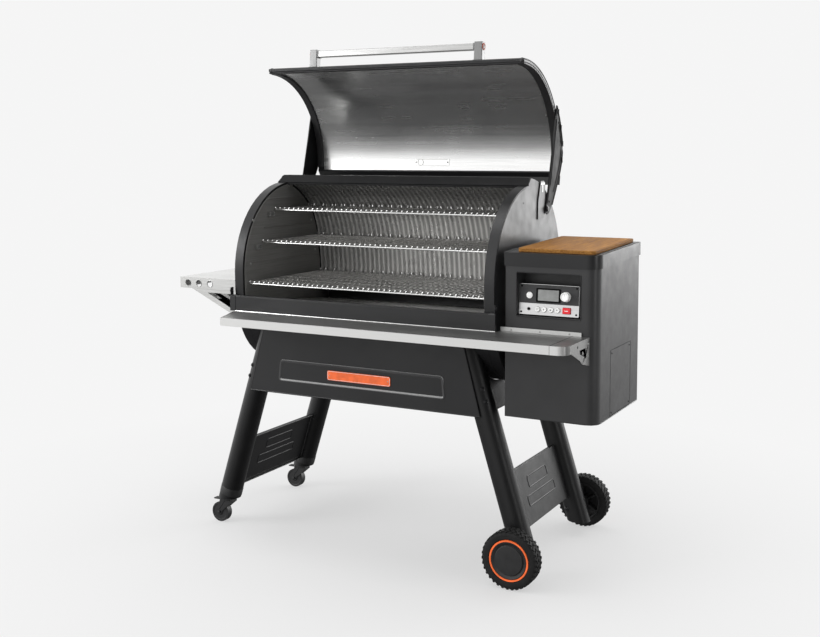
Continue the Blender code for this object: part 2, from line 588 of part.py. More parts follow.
def controls():
    """The tilted control panel with its dial and keys, in the panel's own plane."""
    plane = empty("panel_plane", PANEL_BASE, origin, (-math.radians(PANEL_TILT_DEG), 0.0, 0.0))
    holes = [circle(x, z, 0.0080, 16) for x, z in KEYS]
    holes.append(circle(*DIAL, 0.0060, 16))
    left, right, low, high = RED_KEY
    holes.append([(left - GAP, low - GAP), (right + GAP, low - GAP), (right + GAP, high + GAP),
                  (left - GAP, high + GAP)])
    plate("control_panel", rounded(-PANEL_W / 2, PANEL_W / 2, 0.0, PANEL_H, (0.003,) * 4, 2), "y",
          0.0, 0.0025, silver, plane, holes=holes)
    for number, (x, z) in enumerate(KEYS, start=1):
        rod(f"key_{number}", (x, 0.0100, z), (x, -0.0035, z), 0.0074, white, plane, sides=20)
    plate("red_key", rounded(left, right, low, high, (0.002,) * 4, 2), "y", -0.0035, 0.0100, red, plane)
    x, z = DIAL
    knob = rod("dial", (x, -0.0010, z), (x, -0.0160, z), 0.0140, white, plane, sides=24, tip_radius=0.0125)
    combine(knob, rod("dial_stem", (x, -0.0020, z), (x, 0.0100, z), 0.0055, parent=plane), "UNION")


KEYS = ((-0.0335, 0.0167), (-0.0129, 0.0167), (0.0077, 0.0167), (0.0283, 0.0167))
RED_KEY = (0.0437, 0.0681, 0.0082, 0.0258)
DIAL = (0.0534, 0.0575)


# ---------------------------------------------------------------- shelves

def shelves():
    rear = -0.2875
    end_x = 0.7600
    bend = [(0.7370, -0.4740), (0.7470, -0.4690), (0.7550, -0.4600), (0.7590, -0.4480)]
    outline = [(-0.460, -0.3225), (-0.404, -0.476), (0.728, -0.476), *bend, (end_x, -0.430),
               (end_x, rear), (0.4850, rear), (0.4850, -0.3225)]
    tray = plate("front_shelf", outline, "z", FRONT_SHELF_TOP - FRONT_SHELF_SKIRT, FRONT_SHELF_TOP, steel)
    inner_bend = [(x - 0.0020, y + 0.0018) for x, y in bend]
    under = [(-0.4655, -0.3000), (-0.4022, -0.4735), (0.7275, -0.4735), *inner_bend,
             (end_x - SKIN, -0.429), (end_x - SKIN, -0.2700)]
    combine(tray, plate("shelf_hollow", under, "z", 0.60, FRONT_SHELF_TOP - SKIN))
    combine(tray, box("rear_lip", (0.4850, rear - 0.0025, 0.7460), (0.7360, rear, 0.7635)), "UNION")
    brace = [(-0.4480, 0.7500), (rear, 0.7500), (rear, 0.6700), (-0.3500, 0.6850), (-0.3690, 0.6980),
             (-0.4400, 0.7275), (-0.4480, 0.7275)]
    window = [(-0.3700, 0.7280), (-0.3180, 0.7280), (-0.3180, 0.6980), (-0.3700, 0.7160)]
    rib = plate("front_brace", brace, "x", end_x - SKIN, end_x, None, holes=[window])
    combine(tray, rib, "UNION")
    side = [(-0.717, -0.290), (-0.4735, -0.290), (-0.4735, 0.150), (-0.717, 0.150)]
    top = plate("left_shelf", side, "z", LEFT_SHELF_TOP - LEFT_SHELF_SKIRT, LEFT_SHELF_TOP, steel)
    hollow = box("left_hollow", (-0.7145, -0.2875, 0.60), (-0.40, 0.1475, LEFT_SHELF_TOP - SKIN))
    combine(top, hollow)
    for x in (-0.683, -0.637, -0.590):
        combine(top, rod(f"tool_hole_{-x:.3f}", (x, -0.31, 0.8310), (x, -0.28, 0.8310), 0.0110, sides=20))
    prop = [(-0.672, 0.8150), (-0.4740, 0.8150), (-0.4740, 0.7300), (-0.4900, 0.7300)]
    gap = [(-0.600, 0.8010), (-0.4900, 0.8010), (-0.4900, 0.7480)]
    combine(top, plate("left_brace", prop, "y", -0.2895, -0.2870, None, holes=[gap]), "UNION")


barrel()
grates()
firebox()
bucket()
lid()
stand()
hopper()
chute()
hopper_top()
controls()
shelves()
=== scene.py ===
"""Looks of the pellet smoker grill: finishes, fasteners, wires, treads, camera and light.

The CAD model is the fixed frame.  Every piece made here rides on one of its bodies.  Shapes are written
about the barrel's centre plane, as the CAD is; lid pieces are written shut and then turned open.
"""
import json
import math

import bmesh
import bpy
from mathutils import Matrix, Vector

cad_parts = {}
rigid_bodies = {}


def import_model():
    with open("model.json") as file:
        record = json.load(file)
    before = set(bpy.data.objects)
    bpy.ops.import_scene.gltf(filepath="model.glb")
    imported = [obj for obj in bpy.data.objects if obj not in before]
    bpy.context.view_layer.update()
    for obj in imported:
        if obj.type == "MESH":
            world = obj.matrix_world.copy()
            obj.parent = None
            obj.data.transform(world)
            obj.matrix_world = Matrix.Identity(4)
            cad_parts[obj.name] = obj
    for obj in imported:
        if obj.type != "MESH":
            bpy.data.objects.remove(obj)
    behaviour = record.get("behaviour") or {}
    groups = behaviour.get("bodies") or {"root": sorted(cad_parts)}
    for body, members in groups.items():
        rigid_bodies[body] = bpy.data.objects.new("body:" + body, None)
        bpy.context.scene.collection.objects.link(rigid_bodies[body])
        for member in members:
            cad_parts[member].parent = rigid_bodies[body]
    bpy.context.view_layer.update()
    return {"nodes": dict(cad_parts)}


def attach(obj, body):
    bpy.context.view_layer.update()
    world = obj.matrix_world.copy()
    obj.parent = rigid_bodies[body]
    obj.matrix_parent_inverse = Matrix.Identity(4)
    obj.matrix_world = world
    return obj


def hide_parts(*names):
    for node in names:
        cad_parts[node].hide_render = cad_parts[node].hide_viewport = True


for leftover in list(bpy.data.objects):
    bpy.data.objects.remove(leftover, do_unlink=True)
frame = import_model()
NODES = frame["nodes"]

ROOT = "grill"
SHIFT = Matrix.Translation((-0.0345, 0.07575, 0.0))     # from the barrel's centre to the frame
BARREL_Y, BARREL_Z = -0.012, 0.880                      # centre of the barrel's front curve
PIVOT = Vector((0.0, 0.098, 1.095))                     # the lid's hinge line
LID_OPEN = (Matrix.Translation(PIVOT) @ Matrix.Rotation(math.radians(-102.0), 4, "X")
            @ Matrix.Translation(-PIVOT))
PANEL = Matrix.Translation((0.6290, -0.2740, 0.8035)) @ Matrix.Rotation(math.radians(-5.0), 4, "X")
BOARD_RISE = (Matrix.Translation((0.0, -0.289, 0.985)) @ Matrix.Rotation(math.radians(1.8), 4, "X")
              @ Matrix.Translation((0.0, 0.289, -0.985)))
HERE = Matrix.Identity(4)
FRONT, RIGHT, UP = (0, -1, 0), (1, 0, 0), (0, 0, 1)     # directions
LEG_Y, LEG_R = {"front": -0.250, "rear": 0.210}, 0.0375
LEG_LEAN = 0.310                                        # outward run of a leg per metre of drop
PLACES = (("front", -1), ("rear", 1))
SIDES = (-1, 1)                                         # left and right of the centre plane
WHEEL_R, WHEEL_WIDTH = 0.088, 0.050


def span(sign, near, far):
    """The two ends, in rising order, of a stretch written for the positive side."""
    return sorted((sign * near, sign * far))


def leg_x(z):
    """Distance of a leg's axis from the centre plane at a height."""
    return 0.425 + LEG_LEAN * (0.480 - z)


# ---------------------------------------------------------------- material nodes

def node(tree, kind, inputs=None, **props):
    """A new shader node; its inputs are constants or other nodes' outputs."""
    made = tree.nodes.new("ShaderNode" + kind)
    for key, value in props.items():
        setattr(made, key, value)
    for key, value in (inputs or {}).items():
        if isinstance(value, bpy.types.NodeSocket):
            tree.links.new(value, made.inputs[key])
        else:
            made.inputs[key].default_value = value
    return made


def shader_of(name, colour, rough, metal=0.0, **sockets):
    """A material with its constant values set on the shader itself."""
    mat = bpy.data.materials.new(name)
    mat.use_nodes = True
    shader = mat.node_tree.nodes["Principled BSDF"]
    values = {"Base Color": (*colour, 1.0), "Roughness": rough, "Metallic": metal}
    values.update({key.replace("_", " "): value for key, value in sockets.items()})
    for key, value in values.items():
        shader.inputs[key].default_value = value
    return mat, mat.node_tree, shader


def noise_of(tree, scale, stretch=(1, 1, 1), detail=2.0):
    """Noise in the piece's own metres; stretch is how many cells each axis has, times scale."""
    place = node(tree, "TexCoord").outputs["Object"]
    mapped = node(tree, "Mapping", {"Vector": place, "Scale": stretch}).outputs["Vector"]
    return node(tree, "TexNoise", {"Vector": mapped, "Scale": scale, "Detail": detail}).outputs["Fac"]


def math_of(tree, kind, first, second=0.0):
    return node(tree, "Math", {0: first, 1: second}, operation=kind).outputs[0]


def waves_of(tree, pitch, axis, sharp=1.0):
    """Ridges of one pitch along an axis, from 0 to 1; a higher power makes them narrower."""
    place = node(tree, "TexCoord").outputs["Object"]
    along = node(tree, "SeparateXYZ", {0: place}).outputs["XYZ".index(axis)]
    turn = math_of(tree, "MULTIPLY", along, 2.0 * math.pi / pitch)
    level = math_of(tree, "MULTIPLY_ADD", math_of(tree, "SINE", turn), 0.5)
    level.node.inputs[2].default_value = 0.5
    return math_of(tree, "POWER", level, sharp)


def multiply(tree, first, second, share=1.0):
    return node(tree, "MixRGB", {"Fac": share, "Color1": first, "Color2": second},
                blend_type="MULTIPLY").outputs["Color"]


def spread(tree, value, low, high, start=0.3, end=0.7):
    """Maps start..end to low..high, and holds the ends."""
    return node(tree, "MapRange", {"Value": value, "From Min": start, "From Max": end,
                                   "To Min": low, "To Max": high}).outputs["Result"]


def tint(tree, value, first, second, start=0.3, end=0.7):
    """A colour that runs from first to second as the value runs from start to end."""
    ramp = node(tree, "ValToRGB", {"Fac": value})
    for stop, place, colour in zip(ramp.color_ramp.elements, (start, end), (first, second)):
        stop.position = place
        stop.color = (*colour, 1.0)
    return ramp.outputs["Color"]


def add_bump(tree, shader, *layers):
    """Stacks (height, distance) layers into the shader's normal."""
    normal = None
    for height, distance in layers:
        inputs = {"Height": height, "Distance": distance, "Strength": 1.0}
        if normal is not None:
            inputs["Normal"] = normal
        normal = node(tree, "Bump", inputs).outputs["Normal"]
    tree.links.new(normal, shader.inputs["Normal"])


def finished(mat, tree, shader, paint, rough, *layers):
    """Links a material's colour, roughness and bump layers."""
    tree.links.new(paint, shader.inputs["Base Color"])
    tree.links.new(rough, shader.inputs["Roughness"])
    add_bump(tree, shader, *layers)
    return mat


def powder_coat(name, colour, rough, grain=0.00006):
    """Baked powder coat: orange peel, fine grain and slow changes of sheen."""
    mat, tree, shader = shader_of(name, colour, rough, Specular_IOR_Level=0.42)
    light = tuple(c * 1.35 + 0.001 for c in colour)
    paint = tint(tree, noise_of(tree, 5.0, detail=3.0), colour, light)
    sheen = spread(tree, noise_of(tree, 26.0, detail=4.0), rough - 0.05, rough + 0.06)
    return finished(mat, tree, shader, paint, sheen, (noise_of(tree, 420.0), grain * 1.6),
                    (noise_of(tree, 1500.0), grain))


def brushed(name, colour, rough, along="x", streak=1.0, lines=700.0, metal=1.0, ridges=None):
    """Brushed metal: long fine scratches, with soft bands where the belt pressed harder.

    ridges gives the pitch, axis and depth of shallow flutes across the sheet, and the share of the paint
    left in their troughs, which is painted shade.
    """
    mat, tree, shader = shader_of(name, colour, rough, metal)
    stretch = {"x": (0.012, 1, 1), "y": (1, 0.012, 1), "z": (1, 1, 0.012)}[along]
    fine = noise_of(tree, lines, stretch, 3.0)
    broad = noise_of(tree, lines * 0.09, stretch, 2.0)
    smudge = noise_of(tree, 7.0, detail=4.0)
    dark = tuple(c * (1 - 0.20 * streak) for c in colour)
    paint = tint(tree, fine, dark, colour, 0.35, 0.65)
    layers = [(broad, 0.00003 * streak), (fine, 0.000022 * streak)]
    if ridges:
        pitch, axis, depth, trough_shade = ridges
        wave = waves_of(tree, pitch, axis, 2.0)
        # Painted shade in the flutes' troughs.
        shade = tint(tree, wave, (trough_shade,) * 3, (1.0,) * 3, 0.0, 1.0)
        paint = multiply(tree, paint, shade)
        layers.append((wave, depth))
    first = spread(tree, broad, rough - 0.05, rough + 0.05)
    sheen = math_of(tree, "ADD", first, spread(tree, smudge, -0.03, 0.05))
    return finished(mat, tree, shader, paint, sheen, *layers)


def moulded(name, colour, rough, grain=0.00005, cells=900.0, sheen=0.5):
    """Moulded plastic or rubber: fine spark-eroded grain, slightly uneven sheen."""
    mat, tree, shader = shader_of(name, colour, rough, Specular_IOR_Level=sheen)
    light = tuple(c * 1.4 + 0.002 for c in colour)
    paint = tint(tree, noise_of(tree, 40.0, detail=4.0), colour, light)
    worn = spread(tree, noise_of(tree, 90.0, detail=3.0), rough - 0.06, rough + 0.08)
    return finished(mat, tree, shader, paint, worn, (noise_of(tree, cells, detail=1.0), grain))


def braided(name, colour, rough):
    """Woven glass-fibre cord: short slanting strands over a soft, slightly shiny core."""
    mat, tree, shader = shader_of(name, colour, rough, Specular_IOR_Level=0.5)
    strands = noise_of(tree, 190.0, (1.0, 2.6, 2.6), 2.0)
    lumps = noise_of(tree, 38.0, detail=3.0)
    paint = tint(tree, strands, colour, tuple(c * 2.2 + 0.004 for c in colour))
    sheen = spread(tree, strands, rough - 0.12, rough + 0.10)
    return finished(mat, tree, shader, paint, sheen, (lumps, 0.0016), (strands, 0.0005))


def bamboo(name):
    """Strips of bamboo glued side by side, each with its own tone, fine grain and dark nodes."""
    mat, tree, shader = shader_of(name, (0.30, 0.125, 0.038), 0.66, Specular_IOR_Level=0.06)
    place = node(tree, "TexCoord").outputs["Object"]
    parts = node(tree, "SeparateXYZ", {0: place})
    strip = math_of(tree, "FLOOR", math_of(tree, "MULTIPLY", parts.outputs[0], 1.0 / 0.019))
    tone = node(tree, "TexWhiteNoise", {"W": strip}, noise_dimensions="1D").outputs["Value"]
    grain = noise_of(tree, 260.0, (1.0, 0.035, 1.0), 4.0)
    pores = noise_of(tree, 620.0, (1.0, 0.05, 1.0), 2.0)
    paint = tint(tree, grain, (0.235, 0.098, 0.022), (0.50, 0.250, 0.072), 0.30, 0.70)
    shade = tint(tree, tone, (0.74, 0.72, 0.70), (1.0, 1.0, 1.0), 0.0, 1.0)
    paint = multiply(tree, paint, shade)
    specks = tint(tree, pores, (0.72, 0.66, 0.60), (1.0, 1.0, 1.0), 0.32, 0.46)
    return finished(mat, tree, shader, multiply(tree, paint, specks, 0.8), spread(tree, grain, 0.50, 0.66),
                    (grain, 0.00012), (pores, 0.00008))


def paint_shade_upwards(mat, unshaded_z, shaded_z, share):
    """Painted shade: darkens a material's paint with height, from the first height given to the second,
    towards the top of the back wall inside the barrel.
    """
    tree = mat.node_tree
    socket = tree.nodes["Principled BSDF"].inputs["Base Color"]
    height = node(tree, "SeparateXYZ", {0: node(tree, "NewGeometry").outputs["Position"]}).outputs[2]
    shade = spread(tree, height, 1.0, share, unshaded_z, shaded_z)
    paint = socket.links[0].from_socket
    tree.links.new(multiply(tree, paint, shade), socket)


def paint_light_by_facing(mat, direction, start, end, colour, metal=None):
    """Painted light: another colour, and with metal another metalness, for the faces that look in one
    direction, standing in for the light those faces catch.
    """
    tree = mat.node_tree
    shader = tree.nodes["Principled BSDF"]
    normal = node(tree, "NewGeometry").outputs["Normal"]
    turned = node(tree, "VectorMath", {0: normal, 1: direction}, operation="DOT_PRODUCT").outputs["Value"]
    share = spread(tree, turned, 0.0, 1.0, start, end)
    paint = shader.inputs["Base Color"].links[0].from_socket
    mixed = node(tree, "MixRGB", {"Fac": share, "Color1": paint, "Color2": (*colour, 1.0)})
    tree.links.new(mixed.outputs["Color"], shader.inputs["Base Color"])
    if metal:
        tree.links.new(spread(tree, share, *metal, 0.0, 1.0), shader.inputs["Metallic"])


BLACK = powder_coat("powder_coat_black", (0.0105, 0.0105, 0.0112), 0.36)
# A lighter copy of the black coat for the hopper: painted light on its sides and front.
HOPPER_LIT_COAT = powder_coat("hopper_coat_painted_light", (0.0250, 0.0250, 0.0258), 0.40)
# A darker copy of the black coat: painted shade on the legs, the end panels and the side skirts.
SHADED_COAT = powder_coat("coat_painted_shade", (0.0040, 0.0040, 0.0044), 0.42)
# The apron bead's coat: a lighter base than the black coat, and lighter still on the faces that look up, a
# painted highlight along the bead's lower edge.
BEAD_HIGHLIGHT_COAT = powder_coat("bead_coat_painted_highlight", (0.050, 0.050, 0.051), 0.16, 0.00002)
paint_light_by_facing(BEAD_HIGHLIGHT_COAT, (0.0, 0.0, 1.0), 0.10, 0.40, (0.40, 0.40, 0.40))
# A rougher, less shiny copy of the black coat with a darker base; the darker base is painted shade on the
# header and the hinge wings.
MATT_SHADED_COAT = powder_coat("matt_coat_painted_shade", (0.0050, 0.0050, 0.0054), 0.55)
MATT_SHADED_COAT.node_tree.nodes["Principled BSDF"].inputs["Specular IOR Level"].default_value = 0.18
CHAR = brushed("porcelain_charcoal", (0.25, 0.247, 0.238), 0.46, "y", 1.0, metal=0.6)
STEEL = brushed("brushed_stainless", (0.62, 0.62, 0.615), 0.30, "x")
# The front shelf's faces that look to the front are painted lighter and less metallic: a painted highlight
# on its front skirt.
SHELF_LIT_FRONT = brushed("shelf_stainless_lit_front", (0.36, 0.36, 0.355), 0.36, "x", 1.6, metal=0.95)
paint_light_by_facing(SHELF_LIT_FRONT, (0.0, -1.0, 0.0), 0.60, 0.90, (0.66, 0.66, 0.65), metal=(0.95, 0.45))
SIDE_SHELF = brushed("side_shelf_stainless", (0.62, 0.62, 0.61), 0.36, "x", metal=0.72)
LINER = brushed("liner_stainless", (0.76, 0.76, 0.755), 0.22, "x", 0.4, metal=0.92)
# The back wall: fluted, with painted shade in the troughs of the flutes.
BACK = brushed("back_stainless", (0.80, 0.79, 0.77), 0.28, "z", 0.4, metal=0.55,
               ridges=(0.0188, "X", 0.00035, 0.45))
# Painted shade: the back wall darkens towards its top.
paint_shade_upwards(BACK, 1.04, 1.14, 0.34)
POST = brushed("cast_aluminium", (0.22, 0.22, 0.22), 0.38, "z", 0.6)
HANDLE = brushed("handle_stainless", (0.46, 0.46, 0.455), 0.30, "x")
BOLT = brushed("zinc_bolt", (0.46, 0.46, 0.455), 0.34, "x", 0.6)
SHINE = brushed("bright_edge", (0.82, 0.82, 0.81), 0.20, "x", 0.4)
BLACK_BOLT = powder_coat("bolt_black", (0.011, 0.011, 0.012), 0.30)
ROPE = braided("seal_fibre", (0.0085, 0.0085, 0.0090), 0.44)
PLASTIC = moulded("hub_plastic", (0.0105, 0.0105, 0.0110), 0.44)
RUBBER = moulded("tyre_rubber", (0.0085, 0.0085, 0.0085), 0.66, 0.00008, 600.0, 0.25)
ORANGE = moulded("plate_orange", (0.80, 0.13, 0.025), 0.38, 0.00003, 1200.0)
RUST = moulded("ring_orange", (0.30, 0.045, 0.018), 0.40, 0.00003, 1200.0)
WHITE = moulded("key_white", (0.80, 0.80, 0.79), 0.35, 0.00003, 1200.0)
RED = moulded("key_red", (0.72, 0.012, 0.02), 0.32, 0.00003, 1200.0)
SILVER = brushed("panel_silver", (0.62, 0.62, 0.62), 0.36, "x", 0.4)
PANEL_GREY = moulded("panel_grey", (0.034, 0.034, 0.035), 0.44, 0.00003, 1400.0, 0.3)
SCREEN_GLASS = moulded("screen_glass", (0.20, 0.205, 0.20), 0.16, 0.00001, 400.0, 0.6)
WIRE = brushed("grate_steel", (0.62, 0.615, 0.60), 0.24, "y", 0.6, metal=0.85)
# Near black: the real colour of the screen's frame and the probe socket, and painted shade in the gaps and
# seams it fills.
GAP_SHADE_AND_BLACK = moulded("gap_shade_and_black", (0.003, 0.003, 0.003), 0.80, 0.00010, 500.0, 0.1)
BAMBOO = bamboo("bamboo")
SLOTS = {"powder_coat_black": (BLACK, SHADED_COAT, BEAD_HIGHLIGHT_COAT, MATT_SHADED_COAT, BLACK_BOLT, GAP_SHADE_AND_BLACK),
         "panel_silver": (POST, SILVER, PANEL_GREY, SCREEN_GLASS),
         "plate_orange": (ORANGE, RUST), "bright_stainless": (SHINE, BOLT),
         "porcelain_charcoal": (CHAR,), "seal_fibre": (ROPE,), "hub_plastic": (PLASTIC,),
         "tyre_rubber": (RUBBER,), "key_white": (WHITE,), "key_red": (RED,), "grate_steel": (WIRE,)}
SLOT_OF = {mat.name: slot for slot, mats in SLOTS.items() for mat in mats}


# ---------------------------------------------------------------- shapes

def add_box(bm, low, high, place=HERE):
    made = bmesh.ops.create_cube(bm, size=1.0)["verts"]
    low, high = Vector(low), Vector(high)
    size = Matrix.Diagonal((*(high - low), 1.0))
    bmesh.ops.transform(bm, matrix=place @ Matrix.Translation((low + high) / 2) @ size, verts=made)
    return made


def add_turned(bm, profile, centre, axis, steps=20):
    """A (radius, height) profile spun about an axis; its ends close on the axis or on themselves."""
    turn = Vector(axis).to_track_quat("Z", "Y").to_matrix().to_4x4()
    place = Matrix.Translation(centre) @ turn
    rings = []
    for radius, height in profile:
        if radius == 0.0:
            rings.append([bm.verts.new(place @ Vector((0.0, 0.0, height)))] * steps)
            continue
        spots = [(2.0 * math.pi * step / steps) for step in range(steps)]
        rings.append([bm.verts.new(place @ Vector((radius * math.cos(a), radius * math.sin(a), height)))
                      for a in spots])
    closed = profile[0][0] != 0.0 and profile[-1][0] != 0.0
    pairs = list(zip(rings, rings[1:])) + ([(rings[-1], rings[0])] if closed else [])
    for first, second in pairs:
        for step in range(steps):
            after = (step + 1) % steps
            corners = [first[step], first[after], second[after], second[step]]
            corners = [v for i, v in enumerate(corners) if v not in corners[:i]]
            if len(corners) > 2:
                bm.faces.new(corners)


def add_rod(bm, start, end, radius, steps=14, soft=0.15):
    """A round bar with slightly rounded ends."""
    start, end = Vector(start), Vector(end)
    length, ease = (end - start).length, radius * soft
    profile = [(0.0, 0.0), (radius - ease, 0.0), (radius, ease), (radius, length - ease),
               (radius - ease, length), (0.0, length)]
    add_turned(bm, profile, start, end - start, steps)


def add_screw(bm, centre, axis, radius, height, socket=True, washer=0.0):
    """A domed screw head with a socket, on a washer where one is given."""
    base = 0.0
    if washer:
        base = radius * 0.18
        disc = [(0.0, 0.0), (washer, 0.0), (washer, base * 0.8), (washer * 0.95, base), (0.0, base)]
        add_turned(bm, disc, centre, axis, 20)
    top = base + height
    profile = [(0.0, base), (radius, base), (radius, base + height * 0.35),
               (radius * 0.82, base + height * 0.85), (radius * 0.60, top)]
    if socket:
        profile += [(radius * 0.42, top), (radius * 0.38, base + height * 0.45), (0.0, base + height * 0.40)]
    else:
        profile += [(radius * 0.30, top + height * 0.06), (0.0, top + height * 0.08)]
    add_turned(bm, profile, centre, axis, 16)


def add_plate(bm, outline, axis, low, high, place=HERE):
    """A flat outline extruded along an axis.  Its points are (y, z), (x, z) or (x, y)."""
    def spot(u, v, w):
        return place @ Vector({"x": (w, u, v), "y": (u, w, v), "z": (u, v, w)}[axis])
    bottom = [bm.verts.new(spot(u, v, low)) for u, v in outline]
    top = [bm.verts.new(spot(u, v, high)) for u, v in outline]
    bm.faces.new(bottom)
    bm.faces.new(top[::-1])
    for step in range(len(outline)):
        after = (step + 1) % len(outline)
        bm.faces.new((bottom[step], top[step], top[after], bottom[after]))
    return bottom + top


def add_sweep(bm, points, section, ring=False, up=UP):
    """A section, in (side, up) offsets, carried along a path."""
    points = [Vector(point) for point in points]
    count = len(points)
    rows = []
    for index, point in enumerate(points):
        before = points[index - 1] if ring or index else point
        after = points[(index + 1) % count] if ring or index < count - 1 else point
        ahead = (after - before).normalized()
        side = ahead.cross(Vector(up)).normalized()
        lift = side.cross(ahead)
        rows.append([bm.verts.new(point + side * u + lift * v) for u, v in section])
    sides = len(section)
    for index in range(count if ring else count - 1):
        first, second = rows[index], rows[(index + 1) % count]
        for step in range(sides):
            after = (step + 1) % sides
            bm.faces.new((first[step], first[after], second[after], second[step]))
    if not ring:
        bm.faces.new(rows[0])
        bm.faces.new(rows[-1][::-1])


def circle(radius, sides=8, squash=1.0):
    turns = [2 * math.pi * i / sides for i in range(sides)]
    return [(radius * math.cos(turn), radius * squash * math.sin(turn)) for turn in turns]


def rounded(x_low, x_high, y_low, y_high, radius, steps=5):
    """A rectangle with rounded corners, anticlockwise from the low-low corner."""
    points = []
    for x, y, start in ((x_low, y_low, 180), (x_high, y_low, 270), (x_high, y_high, 0), (x_low, y_high, 90)):
        cx = x + (radius if x == x_low else -radius)
        cy = y + (radius if y == y_low else -radius)
        for step in range(steps + 1):
            angle = math.radians(start + 90.0 * step / steps)
            points.append((cx + radius * math.cos(angle), cy + radius * math.sin(angle)))
    return points


def lid_point(x, radius, degrees):
    """A point of the shut lid; 0 degrees faces the front and 90 degrees is up."""
    angle = math.radians(degrees)
    return Vector((x, BARREL_Y - radius * math.cos(angle), BARREL_Z + radius * math.sin(angle)))


def piece(name, bm, mat, body=ROOT, place=HERE, edge=0.0, sharp=35.0, slot=None):
    """Turns a finished shape into a named piece that rides on a body; a slot is looked up from its material,
    or taken as given, and not used further.
    """
    slot = slot or SLOT_OF[mat.name]
    bmesh.ops.transform(bm, matrix=SHIFT @ place, verts=bm.verts)
    bmesh.ops.recalc_face_normals(bm, faces=bm.faces)
    mesh = bpy.data.meshes.new(name)
    bm.to_mesh(mesh)
    bm.free()
    mesh.materials.append(mat)
    mesh.shade_smooth()
    mesh.set_sharp_from_angle(angle=math.radians(sharp))
    made = bpy.data.objects.new(name, mesh)
    bpy.context.scene.collection.objects.link(made)
    if edge:
        soften(made, edge)
    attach(made, body)
    return made


def lid_piece(name, bm, mat, edge=0.0, sharp=35.0):
    """A piece of the lid, written as the lid lies shut."""
    piece(name, bm, mat, "lid", LID_OPEN, edge, sharp)


def soften(made, width, segments=2):
    """Rounds the hard edges and keeps the flat faces flat in the shading."""
    bevel = made.modifiers.new("edges", "BEVEL")
    bevel.width = width
    bevel.segments = segments
    bevel.limit_method = "ANGLE"
    bevel.angle_limit = math.radians(34.0)
    bevel.miter_outer = "MITER_ARC"
    bevel.use_clamp_overlap = True
    normal = made.modifiers.new("normals", "WEIGHTED_NORMAL")
    normal.keep_sharp = True
    normal.weight = 80


# ---------------------------------------------------------------- carried-over CAD nodes

def dress(name, mat, edge=0.0008, segments=2):
    """Gives a CAD node its finish and small rounded edges; its own vertices stay as they are."""
    made = NODES[name]
    mesh = made.data
    mesh.materials.clear()
    mesh.materials.append(mat)
    if "custom_normal" in mesh.attributes:
        mesh.attributes.remove(mesh.attributes["custom_normal"])
    mesh.shade_smooth()
    weld = made.modifiers.new("weld", "WELD")
    weld.merge_threshold = 0.00002
    tidy = made.modifiers.new("flat_faces", "DECIMATE")
    tidy.decimate_type = "DISSOLVE"
    tidy.angle_limit = math.radians(0.6)
    soften(made, edge, segments)


def dress_all():
    """Each CAD node's material and the radius of its edges."""
    finishes = (
        (BLACK, 0.0008, ("barrel_shell", "end_plate_left", "end_plate_right", "hopper_lid",
                         "lid_shell", "exhaust_duct", "heat_baffle", "front_lip", "front_apron",
                         "auger_motor", "firepot")),
        # The header and the hinge wings take the darker matt coat: painted shade.
        (MATT_SHADED_COAT, 0.0008, ("header_bar", "lid_wing_left", "lid_wing_right")),
        # The hopper takes the lighter copy of the black coat: painted light.
        (HOPPER_LIT_COAT, 0.0008, ("hopper_body", "access_panel")),
        # The end panels and legs take the darker copy of the black coat: painted shade.
        (SHADED_COAT, 0.0008, ("end_panel_left", "end_panel_right", "leg_front_left", "leg_front_right",
                        "leg_rear_left", "leg_rear_right")),
        (CHAR, 0.0004, ("inner_wall_left", "inner_wall_right")),
        # The front shelf's finish paints its front faces lighter: painted highlight.
        (SHELF_LIT_FRONT, 0.0006, ("front_shelf",)),
        (SIDE_SHELF, 0.0006, ("left_shelf",)),
        (HANDLE, 0.0006, ("handle_bar",)),
        (STEEL, 0.0006, ("drip_tray", "pellet_chute", "grease_bucket", "auger", "auger_tube",
                         "fan_impeller")),
        (LINER, 0.0003, ("lid_liner",)),
        (BACK, 0.0003, ("back_liner",)),
        (POST, 0.0008, ("handle_post_left", "handle_post_right")),
        (PLASTIC, 0.0006, ("hub_front", "hub_rear", "caster_fork_front", "caster_fork_rear",
                           "caster_wheel_front", "caster_wheel_rear", "brake_lever_front",
                           "brake_lever_rear")),
        (RUBBER, 0.0010, ("tyre_front", "tyre_rear")),
        (ORANGE, 0.0006, ("name_plate",)),
        (BAMBOO, 0.0010, ("cutting_board",)),
        (SILVER, 0.0004, ("control_panel",)),
        (WHITE, 0.0006, ("key_1", "key_2", "key_3", "key_4", "dial")),
        (RED, 0.0006, ("red_key",)),
    )
    for mat, edge, names in finishes:
        for name in names:
            dress(name, mat, edge)
    dress("lid_seal", ROPE, 0.0036, 4)


# ---------------------------------------------------------------- lid

LINER_R = 0.3035                  # inside of the liner
LID_OUT_R = 0.318                 # outside of the lid's shell
LOW_DEG = -13.2                   # the lid's front edge
POST_X, HANDLE_DEG = 0.308, -7.0


def lid_details():
    bm = bmesh.new()
    band = [lid_point(0.0, LINER_R - inward, LOW_DEG + rise)
            for inward, rise in ((0.0002, 3.35), (0.0002, 4.25), (0.0028, 4.05), (0.0028, 3.45))]
    add_plate(bm, [(p.y, p.z) for p in band], "x", -0.4470, 0.4470)
    lid_piece("liner_hem", bm, SHINE, 0.0004)

    bm = bmesh.new()
    for sign in SIDES:
        foot = lid_point(sign * POST_X, LINER_R - 0.0001, HANDLE_DEG - 1.4)
        inward = lid_point(sign * POST_X, 0.0, 0.0) - foot
        add_screw(bm, foot, inward, 0.0042, 0.0022, False, 0.0065)
    lid_piece("handle_nuts", bm, SHINE)

    bm = bmesh.new()
    for sign in SIDES:
        for degrees in range(0, 80, 16):
            foot = lid_point(sign * 0.4440, LINER_R - 0.0001, degrees)
            add_screw(bm, foot, lid_point(sign * 0.4440, 0.0, 0.0) - foot, 0.0022, 0.0010, False)
    lid_piece("liner_rivets", bm, BOLT)

    emblem()
    handle_details()
    wing_details()
    hem_details()


